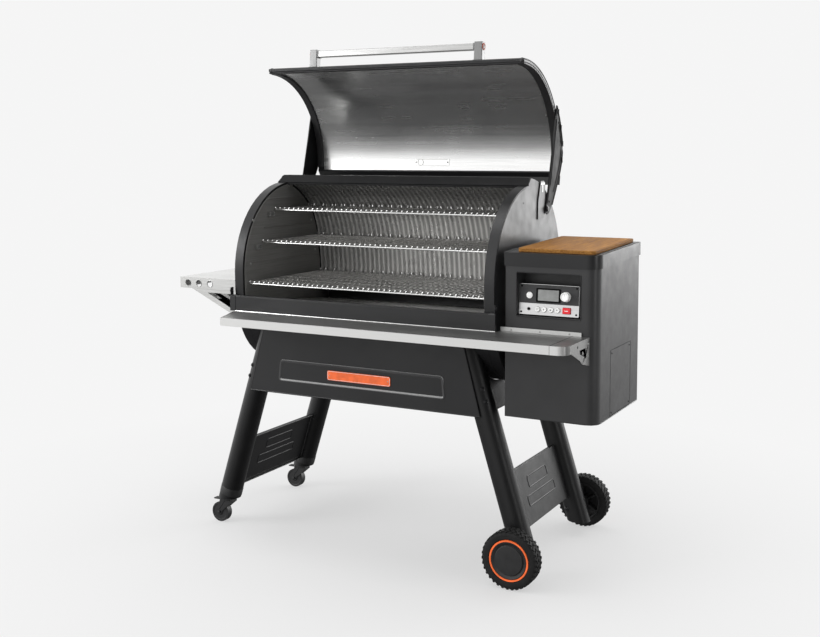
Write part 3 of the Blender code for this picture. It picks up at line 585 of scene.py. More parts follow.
def emblem():
    """A blank bright plate on the liner, held by two small screws."""
    low_deg, high_deg, half = 76.4, 81.2, 0.0672
    steps = 4
    angles = [low_deg + (high_deg - low_deg) * i / steps for i in range(steps + 1)]
    bm = bmesh.new()
    outer = [lid_point(0.0, LINER_R - 0.0014, degrees) for degrees in angles]
    inner = [lid_point(0.0, LINER_R - 0.0002, degrees) for degrees in angles]
    add_plate(bm, [(p.y, p.z) for p in outer + inner[::-1]], "x", -half + 0.0015, half + 0.0015)
    lid_piece("blank_emblem", bm, SHINE, 0.0005)
    bm = bmesh.new()
    line = 0.0008
    for degrees in (low_deg + 0.55, high_deg - 0.55):
        spot = lid_point(0.0, LINER_R - 0.00145, degrees)
        add_box(bm, (-half + 0.006, spot.y - line / 2, spot.z - line / 2),
                (half - 0.003, spot.y + line / 2, spot.z + line / 2))
    middle = lid_point(0.0, LINER_R - 0.0014, (low_deg + high_deg) / 2)
    inward = lid_point(0.0, 0.0, 0.0) - middle
    for x in (-half + 0.0065, half - 0.0040):
        add_screw(bm, middle + Vector((x, 0.0, 0.0)), inward, 0.0024, 0.0010)
    lid_piece("emblem_screws", bm, BLACK_BOLT)
    bm = bmesh.new()
    ring = [(0.0115, 0.0), (0.0115, 0.0012), (0.0098, 0.0012), (0.0098, 0.0)]
    add_turned(bm, ring, middle + Vector((-half + 0.024, 0.0, 0.0)), inward, 28)
    lid_piece("emblem_ring", bm, BOLT)


def handle_details():
    """End rings, the bar's sleeves and the feet of the posts."""
    turn = Matrix.Rotation(math.radians(-HANDLE_DEG), 3, "X")
    foot = lid_point(0.0, LID_OUT_R, HANDLE_DEG)
    middle = foot + turn @ Vector((0.0, -0.0460, 0.0))
    ring = [(0.0115, 0.0), (0.0115, 0.0010), (0.0105, 0.0016), (0.0072, 0.0016), (0.0066, 0.0010),
            (0.0066, 0.0)]
    rings, screws = bmesh.new(), bmesh.new()
    for sign in SIDES:
        centre = middle + Vector((sign * (POST_X + 0.0139), 0.0, 0.0))
        add_turned(rings, ring, centre, (sign, 0, 0), 28)
        add_screw(screws, centre, (sign, 0, 0), 0.0056, 0.0022)
    lid_piece("handle_rings", rings, RUST)
    lid_piece("handle_end_screws", screws, BOLT)
    bm = bmesh.new()
    for sign in SIDES:
        at = foot + Vector((sign * POST_X, 0.0, 0.0))
        place = Matrix.Translation(at) @ turn.to_4x4()
        add_box(bm, (-0.0165, -0.0034, -0.0155), (0.0165, 0.0012, 0.0155), place)
    lid_piece("handle_feet", bm, BLACK, 0.0009)
    bm = bmesh.new()
    for sign in SIDES:
        x = sign * (POST_X - 0.0147)
        near, far = sorted((x, x - sign * 0.004))
        place = Matrix.Translation(middle) @ turn.to_4x4()
        add_box(bm, (near, -0.0116, -0.0116), (far, 0.0116, 0.0116), place)
    lid_piece("handle_collars", bm, POST, 0.0008)


WING_REAR = ((0.178, 1.430), (0.1945, 1.403), (0.210, 1.374), (0.2225, 1.340), (0.2325, 1.308),
             (0.2320, 1.278), (0.228, 1.252), (0.213, 1.217), (0.194, 1.186), (0.167, 1.145), (0.141, 1.107))
WING_FRONT = ((0.0985, 1.112), (0.113, 1.168), (0.127, 1.222), (0.142, 1.280), (0.156, 1.335),
              (0.168, 1.385), (0.1755, 1.412))


def wing_details():
    """Folded edges, pressed ribs and bolts of the two hinge wings, written as the lid stands open."""
    half_x, outside = 0.4778, 0.4797
    rib_rear = [(y - 0.0150, z + 0.004) for y, z in WING_REAR[2:-1]]
    rib_front = [(y + 0.0110, z + 0.002) for y, z in WING_FRONT[1:-1]]
    lines = ((WING_REAR, 0.0032), (WING_FRONT, 0.0026), (rib_rear, 0.0026), (rib_front, 0.0024))
    bm = bmesh.new()
    for sign in SIDES:
        for line, size in lines:
            add_sweep(bm, [(sign * (half_x + 0.0012), y, z) for y, z in line], circle(size, 8, 0.75))
    piece("wing_ribs", bm, BLACK, "lid")
    bm = bmesh.new()
    spots = ((0.1920, 1.411, 0.55), (0.2175, 1.359, 0.35), (0.2325, 1.306, 0.05), (0.2285, 1.252, -0.3))
    for sign in SIDES:
        for y, z, slope in spots:
            axis = Vector((0.0, 1.0, slope)).normalized()
            x = sign * half_x
            add_box(bm, (x - 0.0055, y - 0.0035, z - 0.0085), (x + 0.0055, y + 0.0005, z + 0.0085))
            add_screw(bm, Vector((x, y + 0.0003, z)), axis, 0.0042, 0.0030)
        add_screw(bm, (sign * outside, PIVOT.y, PIVOT.z), (sign, 0, 0), 0.0072, 0.0040, True, 0.0105)
        add_screw(bm, (sign * outside, 0.1180, 1.1180), (sign, 0, 0), 0.0036, 0.0022)
    piece("wing_bolts", bm, BLACK_BOLT, "lid")


def hem_details():
    """The rolled hem of the lid's outer sheet and its seam with the side bands."""
    bm = bmesh.new()
    hem = lid_point(0.0, 0.3135, LOW_DEG + 0.25)
    add_sweep(bm, [(-0.4740, hem.y, hem.z), (0.4740, hem.y, hem.z)], circle(0.0036, 10))
    lid_piece("lid_hem", bm, BLACK)
    bm = bmesh.new()
    for sign in SIDES:
        path = [lid_point(sign * 0.4738, LID_OUT_R - 0.0022, LOW_DEG + 0.6 + 3.0 * i) for i in range(33)]
        add_sweep(bm, path, circle(0.0026, 8), up=RIGHT)
    lid_piece("lid_side_beads", bm, BLACK)
    bm = bmesh.new()
    reach = 0.4655
    rises = [LOW_DEG + 1.2 + 3.0 * i for i in range(29)]
    corner = lid_point(0.0, 0.3110, LOW_DEG + 1.2)
    add_sweep(bm, [(-reach, corner.y, corner.z), (reach, corner.y, corner.z)], circle(0.0085, 12))
    ball = [(0.0, -0.0098), (0.0062, -0.0078), (0.0095, -0.0029), (0.0095, 0.0029), (0.0062, 0.0078),
            (0.0, 0.0098)]
    for sign in SIDES:
        add_sweep(bm, [lid_point(sign * reach, 0.3100, a) for a in rises], circle(0.0084, 12), up=RIGHT)
        add_turned(bm, ball, (sign * reach, corner.y, corner.z), RIGHT, 20)
    lid_piece("lid_seal_roll", bm, ROPE, sharp=60.0)


# ---------------------------------------------------------------- barrel and chamber

GRATES = (("grate_bottom", -0.282, 0.160, 0.8470), ("grate_middle", -0.205, 0.146, 0.9800),
          ("grate_top", -0.131, 0.086, 1.0870))
GRATE_HALF, WIRE_COUNT, WIRE_R = 0.4320, 46, 0.0021
WALL_X, WALL_FACE_X = 0.4345, 0.4349                    # the end walls, and what is fixed to them
BACK_WALL = ((-0.0080, 1.1655), (0.0280, 1.1480), (0.0600, 1.1265), (0.0880, 1.1030), (0.1090, 1.0780),
             (0.1250, 1.0520), (0.1390, 1.0220), (0.1500, 0.9880), (0.1580, 0.9500), (0.1640, 0.9100),
             (0.1680, 0.8730), (0.1690, 0.8400), (0.1670, 0.8050), (0.1620, 0.7750))


def grate(name, front, back, height):
    """Welded round wires in place of the flat CAD grille; the rear ends turn up."""
    level = height - 0.0048
    pitch = 2 * (GRATE_HALF - WIRE_R) / (WIRE_COUNT - 1)
    wires, front_rod = bmesh.new(), bmesh.new()
    for number in range(WIRE_COUNT):
        x = -GRATE_HALF + WIRE_R + pitch * number
        side = 0.0040 if number % 2 else -0.0040
        lean = 0.0 if abs(x) > GRATE_HALF - 0.006 else side
        line = ((0.0, front + 0.0005, 0.0035), (0.0, front + 0.0070, 0.0024), (0.0, front + 0.012, 0.0020),
                (0.0, back - 0.010, 0.0020), (0.0, back - 0.005, 0.0030),
                (lean * 0.4, back - 0.0022, 0.0060), (lean, back - 0.0012, 0.0125))
        add_sweep(wires, [(x + aside, y, level + up) for aside, y, up in line], circle(WIRE_R, 7), up=RIGHT)
        add_rod(front_rod, (x, front + 0.0052, level + 0.0036), (x, front - 0.0002, level + 0.0044),
                WIRE_R + 0.0012, 8, 0.5)
        add_rod(front_rod, (x + 0.4 * side, back - 0.0022, level + 0.0050),
                (x + side, back - 0.0012, level + 0.0135), WIRE_R + 0.0005, 7, 0.5)
    made = piece(name + "_wires", wires, WIRE, name, sharp=50.0)
    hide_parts(name)
    half, low = GRATE_HALF - 0.0006, level - 0.0018
    add_rod(front_rod, (-half, front + 0.0030, low), (half, front + 0.0030, low), 0.0030, 12)
    piece(name + "_front_rod", front_rod, SHINE, name, slot="grate_steel")
    bm = bmesh.new()
    half, low = GRATE_HALF - 0.0090, level - 0.0026
    crossings = max(3, round((back - front) / 0.085))
    for number in range(1, crossings + 1):
        y = front + (back - front) * number / (crossings + 1) if number < crossings else back - 0.0085
        add_rod(bm, (-half, y, low), (half, y, low), 0.0027, 10)
    piece(name + "_cross_rods", bm, WIRE, name)


def chamber_details():
    for entry in GRATES:
        grate(*entry)
    bm = bmesh.new()
    for sign in SIDES:
        x_low, x_high = span(sign, 0.4335, WALL_FACE_X)
        line = [(y - 0.0004, z - 0.0004) for y, z in BACK_WALL]
        front = [(y - 0.0068, z - 0.0060 if y < 0.10 else z) for y, z in BACK_WALL]
        add_plate(bm, front + line[::-1], "x", x_low, x_high)
    # Painted shade: near-black strips where the end walls meet the back wall.
    piece("wall_gap_shade_strips", bm, GAP_SHADE_AND_BLACK)
    bm = bmesh.new()
    seams = ((1.1180, 1.1225, -0.1650, 0.0480), (1.0215, 1.0250, -0.1900, 0.1040),
             (0.9080, 0.9110, -0.2550, 0.1500))
    for sign in SIDES:
        x_low, x_high = span(sign, 0.4322, 0.4352)
        for low, high, start, end in seams:
            add_box(bm, (x_low, start, low), (x_high, end, high))
    piece("wall_seams", bm, CHAR, edge=0.0012)
    bm = bmesh.new()
    for sign in SIDES:
        for y, z in ((-0.038, 1.160), (-0.2516, 1.0505), (0.1034, 1.0344), (-0.268, 0.905), (0.128, 0.925)):
            add_screw(bm, (sign * WALL_FACE_X, y, z), (-sign, 0, 0), 0.0030, 0.0016, False, 0.0046)
    piece("wall_rivets", bm, BOLT)
    bm = bmesh.new()
    for sign in SIDES:
        for y, z in ((-0.154, 1.0700), (-0.2301, 0.9620)):
            clip(bm, sign, y, z)
    piece("grate_clips", bm, BOLT, edge=0.0005)
    igniter_and_probe()
    header_cap()
    lip_details()


def clip(bm, sign, y, z):
    """A folded bracket with two ears that carries a grate's front corner."""
    sheets = ((0.4235, -0.013, -0.011, -0.0080, 0.0040), (0.4235, 0.011, 0.013, -0.0080, 0.0040),
              (0.4330, -0.013, 0.013, -0.0100, 0.0040), (0.4235, -0.013, 0.013, -0.0100, -0.0085))
    for inside, low, high, base, top in sheets:
        x_low, x_high = span(sign, WALL_X, inside)
        add_box(bm, (x_low, y + low, z + base), (x_high, y + high, z + top))
    add_screw(bm, (sign * 0.4328, y, z - 0.0025), (-sign, 0, 0), 0.0028, 0.0014)


def igniter_and_probe():
    """The igniter's hot rod in the firepot, and the short temperature probe by the left wall."""
    bm = bmesh.new()
    add_rod(bm, (0.0, 0.0545, 0.6080), (0.0, 0.0300, 0.6080), 0.0045)
    piece("igniter_rod", bm, BOLT)
    bm = bmesh.new()
    add_rod(bm, (-WALL_X, 0.060, 0.8150), (-0.3750, 0.060, 0.8150), 0.0026)
    add_rod(bm, (-WALL_X, 0.060, 0.8150), (-0.4260, 0.060, 0.8150), 0.0060, 6, 0.10)
    piece("temperature_probe", bm, BOLT)


def header_cap():
    """The folded band along the header that runs on over both end plates, cut slanting at its ends."""
    bm = bmesh.new()
    outline = [(-0.0492, 1.1738), (-0.0249, 1.1987), (0.0040, 1.1987), (0.0040, 1.1984), (-0.0240, 1.1984),
               (-0.0474, 1.1722)]
    for vert in add_plate(bm, outline, "x", -0.4742, 0.4742):
        if vert.co.z > 1.18:
            vert.co.x *= 0.980
    # The band takes the darker matt coat: painted shade.
    piece("header_band", bm, MATT_SHADED_COAT, edge=0.0003)
    bm = bmesh.new()
    for sign in SIDES:
        add_screw(bm, (sign * 0.4550, -0.010, 1.1958), UP, 0.0034, 0.0016)
    piece("header_screws", bm, BLACK_BOLT)


def lip_details():
    """Corner pieces, bolts and the folded top edge of the lip below the opening."""
    bm = bmesh.new()
    outline = [(-0.3212, 0.7515), (-0.3202, 0.7515), (-0.3202, 0.8008), (-0.3166, 0.8038),
               (-0.3050, 0.8038), (-0.3050, 0.8048), (-0.3170, 0.8048), (-0.3212, 0.8012)]
    for sign in SIDES:
        add_plate(bm, outline, "x", *span(sign, 0.4600, 0.4815))
    piece("lip_corners", bm, BLACK, edge=0.0004)
    bm = bmesh.new()
    for sign in SIDES:
        add_screw(bm, (sign * 0.4716, -0.1900, 0.6930), (sign, 0, 0), 0.0040, 0.0026)
        add_box(bm, (sign * 0.4788 - 0.0012, -0.3210, 0.8050), (sign * 0.4788 + 0.0012, -0.3060, 0.8290))
        add_screw(bm, (sign * 0.4800, -0.3135, 0.8180), (sign, 0, 0), 0.0062, 0.0026, True, 0.0085)
    piece("lip_bolts", bm, BLACK_BOLT, edge=0.0004)
    bm = bmesh.new()
    add_sweep(bm, [(-0.4598, -0.3184, 0.8020), (0.4598, -0.3184, 0.8020)], circle(0.0012, 8))
    piece("lip_top_bead", bm, BLACK)
    bm = bmesh.new()
    fold_r = 0.2905
    for sign in SIDES:
        path = [(sign * 0.4712, BARREL_Y - fold_r * math.cos(turn), BARREL_Z + fold_r * math.sin(turn))
                for turn in map(math.radians, range(0, 84, 4))]
        add_sweep(bm, path, circle(0.0016, 6), up=RIGHT)
        add_screw(bm, (sign * 0.4714, -0.085, 1.120), (sign, 0, 0), 0.0022, 0.0010, False)
    piece("end_plate_folds", bm, BLACK)
    bracket = [(0.030, 1.064), (0.090, 1.064), (0.090, 1.176), (0.080, 1.186), (0.052, 1.186),
               (0.030, 1.120)]
    bm = bmesh.new()
    for sign in SIDES:
        add_plate(bm, bracket, "x", *span(sign, 0.4717, 0.4750))
    piece("hinge_brackets", bm, BLACK, edge=0.0004)
    bm = bmesh.new()
    for sign in SIDES:
        x_low, x_high = span(sign, 0.4748, 0.4757)
        add_box(bm, (x_low, 0.0500, 1.1740), (x_high, 0.0840, 1.1800))
        add_box(bm, (x_low, 0.0640, 1.1500), (x_high, 0.0700, 1.1750))
    piece("hinge_bracket_faces", bm, BOLT, edge=0.0003)


# ---------------------------------------------------------------- hopper and controls

HOP_LOW, HOP_HIGH = Vector((0.497, -0.285, 0.496)), Vector((0.782, 0.114, 0.970))
DIAL = (0.0534, 0.0575)
KEY_X, KEY_Z = (-0.0335, -0.0129, 0.0077, 0.0283), 0.0167


def panel_details():
    """Dark upper field, screen, emblem disc, probe socket and screws, in the panel's own plane."""
    hole = [(DIAL[0] + 0.0063 * math.cos(a), DIAL[1] + 0.0063 * math.sin(a))
            for a in [2 * math.pi * i / 20 for i in range(21)]]
    half = 0.0918
    field = [(-half, 0.0335), (half, 0.0335), (half, 0.05745), *hole, (half, 0.05755), (half, 0.0888),
             (-half, 0.0888)]
    bm = bmesh.new()
    add_plate(bm, field, "y", -0.0007, -0.0001)
    piece("panel_field", bm, PANEL_GREY, place=PANEL)
    bm = bmesh.new()
    add_plate(bm, rounded(-0.0390, 0.0362, 0.0380, 0.0790, 0.0028), "y", -0.0030, -0.0006)
    probe_socket = [(0.0046, 0.0), (0.0046, 0.0022), (0.0034, 0.0026), (0.0026, 0.0022), (0.0022, 0.0004),
                    (0.0, 0.0004)]
    add_turned(bm, probe_socket, (-0.0611, -0.0001, KEY_Z), FRONT, 24)
    for x in (-0.085, 0.085):
        for z in (0.0072, 0.0830):
            add_screw(bm, (x, -0.0001 if z < 0.03 else -0.0007, z), FRONT, 0.0030, 0.0016)
    piece("screen_frame", bm, GAP_SHADE_AND_BLACK, place=PANEL, edge=0.0003)
    bm = bmesh.new()
    add_plate(bm, rounded(-0.0330, 0.0310, 0.0425, 0.0745, 0.0012, 2), "y", -0.0034, -0.0026)
    piece("screen_glass", bm, SCREEN_GLASS, place=PANEL, edge=0.0002)
    bm = bmesh.new()
    disc = [(0.0, 0.0), (0.0096, 0.0), (0.0096, 0.0010), (0.0086, 0.0016), (0.0078, 0.0010),
            (0.0060, 0.0010), (0.0054, 0.0015), (0.0, 0.0018)]
    add_turned(bm, disc, (-0.0603, -0.0006, 0.0566), FRONT, 32)
    piece("blank_badge", bm, WHITE, place=PANEL)
    bm = bmesh.new()
    frame_ring = rounded(-0.0990, 0.0990, -0.0048, 0.1250, 0.0030, 3)
    add_sweep(bm, [(x, -0.0116, z) for x, z in frame_ring], circle(0.0014, 6), ring=True, up=(0, 1, 0))
    piece("recess_bead", bm, BLACK, place=Matrix.Translation((0.6325, -0.2738, 0.8025)))
    key_details()


def key_details():
    """Caps and plain marks of the keys, and the ribbed dial in place of the plain one."""
    cap = [(0.0, 0.0), (0.0073, 0.0), (0.0073, 0.0004), (0.0066, 0.0010), (0.0052, 0.0011), (0.0046, 0.0007),
           (0.0, 0.0006)]
    for number, x in enumerate(KEY_X, start=1):
        bm = bmesh.new()
        add_turned(bm, cap, (x, -0.0034, KEY_Z), FRONT, 28)
        piece(f"key_cap_{number}", bm, WHITE, f"key_{number}", PANEL)
        bm = bmesh.new()
        for step in range(number if number < 4 else 2):
            at = x + (step - (min(number, 3) - 1) / 2) * 0.0018
            add_box(bm, (at - 0.0005, -0.0043, KEY_Z - 0.0020), (at + 0.0005, -0.0040, KEY_Z + 0.0020))
        piece(f"key_mark_{number}", bm, PANEL_GREY, f"key_{number}", PANEL)
    bm = bmesh.new()
    add_plate(bm, rounded(0.0446, 0.0672, 0.0091, 0.0249, 0.0022), "y", -0.0043, -0.0034)
    piece("red_key_cap", bm, RED, "red_key", PANEL, 0.0005)
    bm = bmesh.new()
    add_plate(bm, rounded(0.0505, 0.0613, 0.0160, 0.0180, 0.0008, 3), "y", -0.0046, -0.0042)
    piece("red_key_dash", bm, WHITE, "red_key", PANEL)
    bm = bmesh.new()
    x, z = DIAL
    skirt = [(0.0, 0.0), (0.0142, 0.0), (0.0143, 0.0012), (0.0132, 0.0022), (0.0126, 0.0150),
             (0.0118, 0.0160), (0.0106, 0.0162), (0.0098, 0.0156), (0.0, 0.0154)]
    add_turned(bm, skirt, (x, -0.0012, z), FRONT, 40)
    for step in range(24):
        angle = 2 * math.pi * step / 24
        rib_x, rib_z = x + 0.01285 * math.cos(angle), z + 0.01285 * math.sin(angle)
        add_rod(bm, (rib_x, -0.0040, rib_z), (rib_x, -0.0148, rib_z), 0.0006, 6)
    knob = piece("dial_knob", bm, WHITE, "dial", PANEL)
    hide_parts("dial")
    bm = bmesh.new()
    add_box(bm, (x - 0.0007, -0.0170, z + 0.0020), (x + 0.0007, -0.0164, z + 0.0092))
    ring = [(0.0102, 0.0), (0.0102, 0.0004), (0.0094, 0.0004), (0.0094, 0.0)]
    add_turned(bm, ring, (x, -0.0168, z), FRONT, 36)
    piece("dial_pointer", bm, SILVER, "dial", PANEL)


def hopper_details():
    """Screws, the folds of the bottom edge, the vents at the back, hinge leaves and the lid's beads."""
    low, high = HOP_LOW, HOP_HIGH
    bm = bmesh.new()
    for y, z in ((-0.150, 0.510), (0.020, 0.510), (-0.150, 0.687), (0.020, 0.687)):
        add_screw(bm, (high.x - 0.0001, y, z), RIGHT, 0.0030, 0.0016)
    for x, z in ((0.530, 0.900), (0.640, 0.900), (0.750, 0.900), (0.540, 0.530), (0.740, 0.530)):
        add_screw(bm, (x, high.y - 0.0001, z), (0, 1, 0), 0.0034, 0.0018)
    piece("hopper_screws", bm, BLACK_BOLT)
    line = ((low.x + 0.002, low.y + 0.002), (high.x - 0.036, low.y + 0.0006),
            (high.x - 0.018, low.y + 0.0058), (high.x - 0.006, low.y + 0.018),
            (high.x - 0.0008, low.y + 0.036), (high.x - 0.0008, high.y - 0.002))
    bm = bmesh.new()
    add_sweep(bm, [(x, y, low.z + 0.0012) for x, y in line], circle(0.0016, 6))
    for number in range(9):
        z = 0.560 + 0.0105 * number
        profile = [(0.114, z), (0.1172, z + 0.0016), (0.1172, z + 0.0028), (0.114, z + 0.0064)]
        add_plate(bm, profile, "x", 0.585, 0.705)
    piece("hopper_folds", bm, BLACK)
    bm = bmesh.new()
    for x in (0.5480, 0.7320):
        add_box(bm, (x - 0.020, 0.1135, 0.9170), (x + 0.020, 0.1155, 0.9410))
    piece("hinge_leaves", bm, BLACK, edge=0.0005)
    bm = bmesh.new()
    for x in (0.4985, 0.7805):
        add_box(bm, (x - 0.0012, -0.2700, 0.9855), (x + 0.0012, 0.1000, 0.9875), BOARD_RISE)
    piece("hopper_lid_beads", bm, BLACK, "hopper_lid", edge=0.0008)


def access_gap_shade():
    """Painted shade: a near-black strip in the gap round the access panel in the hopper's side."""
    corners = ((-0.1630, 0.5000), (0.0330, 0.5000), (0.0330, 0.6970), (-0.1630, 0.6970))
    gap = [(-0.0011, -0.0003), (-0.0011, 0.0001), (0.0011, 0.0001), (0.0011, -0.0003)]
    bm = bmesh.new()
    add_sweep(bm, [(0.7822, y, z) for y, z in corners], gap, True, RIGHT)
    piece("access_gap_shade", bm, GAP_SHADE_AND_BLACK)


# ---------------------------------------------------------------- shelves

def shelf_details():
    """Bends, seams, brackets and screws of the two shelves, and the rims of the tool holes."""
    top, skirt, back_y = 0.752, 0.025, -0.3240
    bm = bmesh.new()
    add_sweep(bm, [(x, back_y, top + 0.0006) for x in (-0.4580, 0.4830)], circle(0.0022, 10, 0.8))
    add_sweep(bm, [(x, y, top + 0.0001) for x, y in ((-0.4590, back_y), (-0.4038, -0.4745))],
              circle(0.0010, 8, 0.6))
    piece("shelf_rear_ridge", bm, SHINE, slot="brushed_stainless")
    bm = bmesh.new()
    add_sweep(bm, [(-0.4034, -0.4743, top - 0.0010), (0.7280, -0.4743, top - 0.0010)], circle(0.0014, 8))
    piece("shelf_front_bend", bm, SHINE, slot="brushed_stainless")
    bm = bmesh.new()
    add_box(bm, (0.7092, -0.4760, top - skirt + 0.001), (0.7104, -0.4755, top - 0.0008))
    add_box(bm, (0.7092, -0.4752, top - 0.0002), (0.7104, -0.2900, top + 0.0003))
    add_rod(bm, (0.7598, -0.3880, 0.7385), (0.7604, -0.3880, 0.7385), 0.0036, 16)
    # Painted shade: near-black lines along the shelf's seam; a small near-black disc on its right end.
    piece("shelf_seam_shade", bm, GAP_SHADE_AND_BLACK)
    bm = bmesh.new()
    for x in (-0.300, 0.0, 0.300):
        add_box(bm, (x - 0.0125, -0.4700, 0.7420), (x + 0.0125, -0.3080, 0.7440))
        add_box(bm, (x - 0.0125, -0.3260, 0.7100), (x + 0.0125, -0.3235, 0.7440))
        add_screw(bm, (x, -0.3262, 0.7200), FRONT, 0.0040, 0.0026)
    piece("shelf_brackets", bm, BLACK, edge=0.0005)
    bm = bmesh.new()
    for x in (0.520, 0.610, 0.700):
        add_screw(bm, (x, -0.2899, 0.7570), FRONT, 0.0028, 0.0014)
    for z in (0.700, 0.735):
        add_screw(bm, (0.7599, -0.2980, z), RIGHT, 0.0030, 0.0012)
    piece("shelf_screws", bm, BOLT)
    bm = bmesh.new()
    ring = [(0.0108, -0.0004), (0.0126, -0.0004), (0.0128, 0.0004), (0.0118, 0.0010), (0.0108, 0.0004)]
    for x in (-0.683, -0.637, -0.590):
        add_turned(bm, ring, (x, -0.2901, 0.8310), FRONT, 28)
    piece("tool_hole_rims", bm, SHINE)
    bm = bmesh.new()
    for y in (-0.200, 0.060):
        for z in (0.8220, 0.8400):
            add_screw(bm, (-0.4738, y, z), (-1, 0, 0), 0.0040, 0.0024)
    for z in (0.7400, 0.8040):
        add_screw(bm, (-0.4810, -0.2896, z), FRONT, 0.0028, 0.0014)
    piece("left_shelf_screws", bm, BOLT)


# ---------------------------------------------------------------- stand

APRON_LOW = 0.4860                                      # lower edge of the apron and the side skirts


def stand_details():
    """The apron's pressed groove, its plate's outline and rivets, and its rolled edges."""
    low, high, apron_y = 0.5285, 0.5960, -0.2930
    bm = bmesh.new()
    shape = rounded(-0.3040, 0.3040, low, high, 0.0100, 5)
    path = [(x * (1.0 - 0.024 * (z - low) / 0.0675), -0.2946, z) for x, z in shape]
    fold = [(-0.0064, -0.0002), (-0.0040, 0.0020), (-0.0010, 0.0029), (0.0012, 0.0028), (0.0026, -0.0002)]
    add_sweep(bm, path, fold, ring=True, up=FRONT)
    # The bead's coat paints a highlight on its faces that look up.
    piece("apron_bead", bm, BEAD_HIGHLIGHT_COAT, sharp=60.0)
    bm = bmesh.new()
    line = rounded(-0.1135, 0.1135, 0.5495, 0.5765, 0.0042, 4)
    add_sweep(bm, [(x, -0.2975, z) for x, z in line], circle(0.0006, 6), ring=True, up=FRONT)
    piece("plate_outline", bm, WHITE)
    bm = bmesh.new()
    for x in (-0.1070, 0.1070):
        add_screw(bm, (x, -0.2974, 0.5630), FRONT, 0.0020, 0.0008, False)
    piece("plate_rivets", bm, BOLT)
    bm = bmesh.new()
    add_sweep(bm, [(-0.4212, apron_y, APRON_LOW), (0.4212, apron_y, APRON_LOW)], circle(0.0024, 8))
    for sign in SIDES:
        hem = [(sign * 0.4204, apron_y, 0.4865), (sign * 0.3598, apron_y, 0.7170)]
        add_sweep(bm, hem, circle(0.0022, 8))
    piece("apron_hems", bm, BLACK)
    leg_details()
    side_skirts()
    end_panel_details()


def leg_spot(sign, place, z, outward, proud=0.0):
    """A point on a leg's surface, in the direction outward from its axis."""
    return Vector((sign * leg_x(z), LEG_Y[place], z)) + Vector(outward).normalized() * (LEG_R + proud)


def leg_details():
    """Bolts of all four legs and the collars above the casters."""
    bm = bmesh.new()
    for sign in SIDES:
        for place, side in PLACES:
            outward = Vector((sign * 0.62, side * 0.785, 0.19))
            for z in (0.559, 0.5225):
                spot = leg_spot(sign, place, z, outward, -0.0004)
                add_screw(bm, spot, outward, 0.0058, 0.0036, True, 0.0078)
    for place, side in PLACES:
        across = Vector((0.30, -side * 0.95, 0.0))
        for z in (0.150, 0.280):
            add_screw(bm, leg_spot(-1, place, z, across, -0.0004), across, 0.0036, 0.0020)
        across = Vector((-0.55, -side * 0.835, 0.0))
        add_screw(bm, leg_spot(1, place, WHEEL_R, across, -0.0010), across, 0.0075, 0.0050, False, 0.0110)
    piece("leg_bolts", bm, BLACK_BOLT)
    bm = bmesh.new()
    for leg_y in LEG_Y.values():
        bottom, top = [Vector((-leg_x(z), leg_y, z)) for z in (0.1045, 0.1300)]
        length = (top - bottom).length
        sleeve = [(LEG_R - 0.0010, 0.0), (LEG_R + 0.0007, 0.0008), (LEG_R + 0.0009, length - 0.0016),
                  (LEG_R + 0.0002, length), (LEG_R - 0.0010, length)]
        add_turned(bm, sleeve, bottom, top - bottom, 48)
    piece("leg_collars", bm, PLASTIC, sharp=60.0)


def side_skirts():
    """Sheet panels between each pair of legs, cut to the barrel's belly along their top."""
    front, rear = LEG_Y["front"] + LEG_R, LEG_Y["rear"] - LEG_R
    spots = [front + (rear - front) * i / 24 for i in range(25)]
    deep = [min(abs(y + 0.034) / 0.273, 0.999) for y in spots]
    top = [(y, 0.880 - 0.3203 * (1.0 - d ** 2.5) ** 0.4 - 0.0003) for y, d in zip(spots, deep)]
    outline = [(front, APRON_LOW), (rear, APRON_LOW)] + top[::-1]
    bm = bmesh.new()
    for sign in SIDES:
        for vert in add_plate(bm, outline, "x", -0.0012, 0.0012):
            vert.co.x += sign * leg_x(vert.co.z)
        hem = [(sign * leg_x(APRON_LOW), y, 0.4866) for y in (front + 0.0005, rear - 0.0005)]
        add_sweep(bm, hem, circle(0.0024, 8))
    # The skirts take the darker copy of the black coat: painted shade.
    piece("side_skirts", bm, SHADED_COAT)


def end_panel_details():
    """Plain pressed bars on both faces of the end panels, rolled edges and screws."""
    lean = math.atan(LEG_LEAN)
    middle = (LEG_Y["front"] + LEG_Y["rear"]) / 2
    fold = [(-0.0022, -0.0002), (-0.0010, 0.0013), (0.0010, 0.0013), (0.0022, -0.0002)]
    pressing, edges = bmesh.new(), bmesh.new()
    for sign in SIDES:
        place = Matrix.Translation((sign * leg_x(0.215), middle, 0.215))
        place @= Matrix.Rotation(-sign * lean, 4, "Y")
        for face, out in ((sign * 0.0021, sign), (-sign * 0.0004, -sign)):
            up = place.to_3x3() @ Vector((out, 0, 0))
            for z, half, tall in ((0.0330, 0.0780, 0.0170), (-0.0210, 0.1100, 0.0150)):
                bar = rounded(-half, half, z - tall, z + tall, 0.0070, 5)
                add_sweep(pressing, [place @ Vector((face, y, w)) for y, w in bar], fold, True, up)
        for z in (-0.0893, 0.0893):
            edge = [place @ Vector((-sign * 0.0085, y, z)) for y in (-0.1895, 0.1895)]
            add_sweep(edges, edge, circle(0.0018, 8))
        for y in (-0.176, 0.176):
            for z in (-0.055, 0.055):
                spot, out = place @ Vector((-sign * 0.0004, y, z)), place.to_3x3() @ Vector((-sign, 0, 0))
                add_screw(edges, spot, out, 0.0038, 0.0022)
    piece("end_panel_pressing", pressing, BLACK, sharp=60.0)
    piece("end_panel_edges", edges, BLACK)


# ---------------------------------------------------------------- wheels

BLOCKS, TREAD_R, BLOCK_R = 34, 0.0850, 0.0874           # tread blocks in a row; their feet and their tops


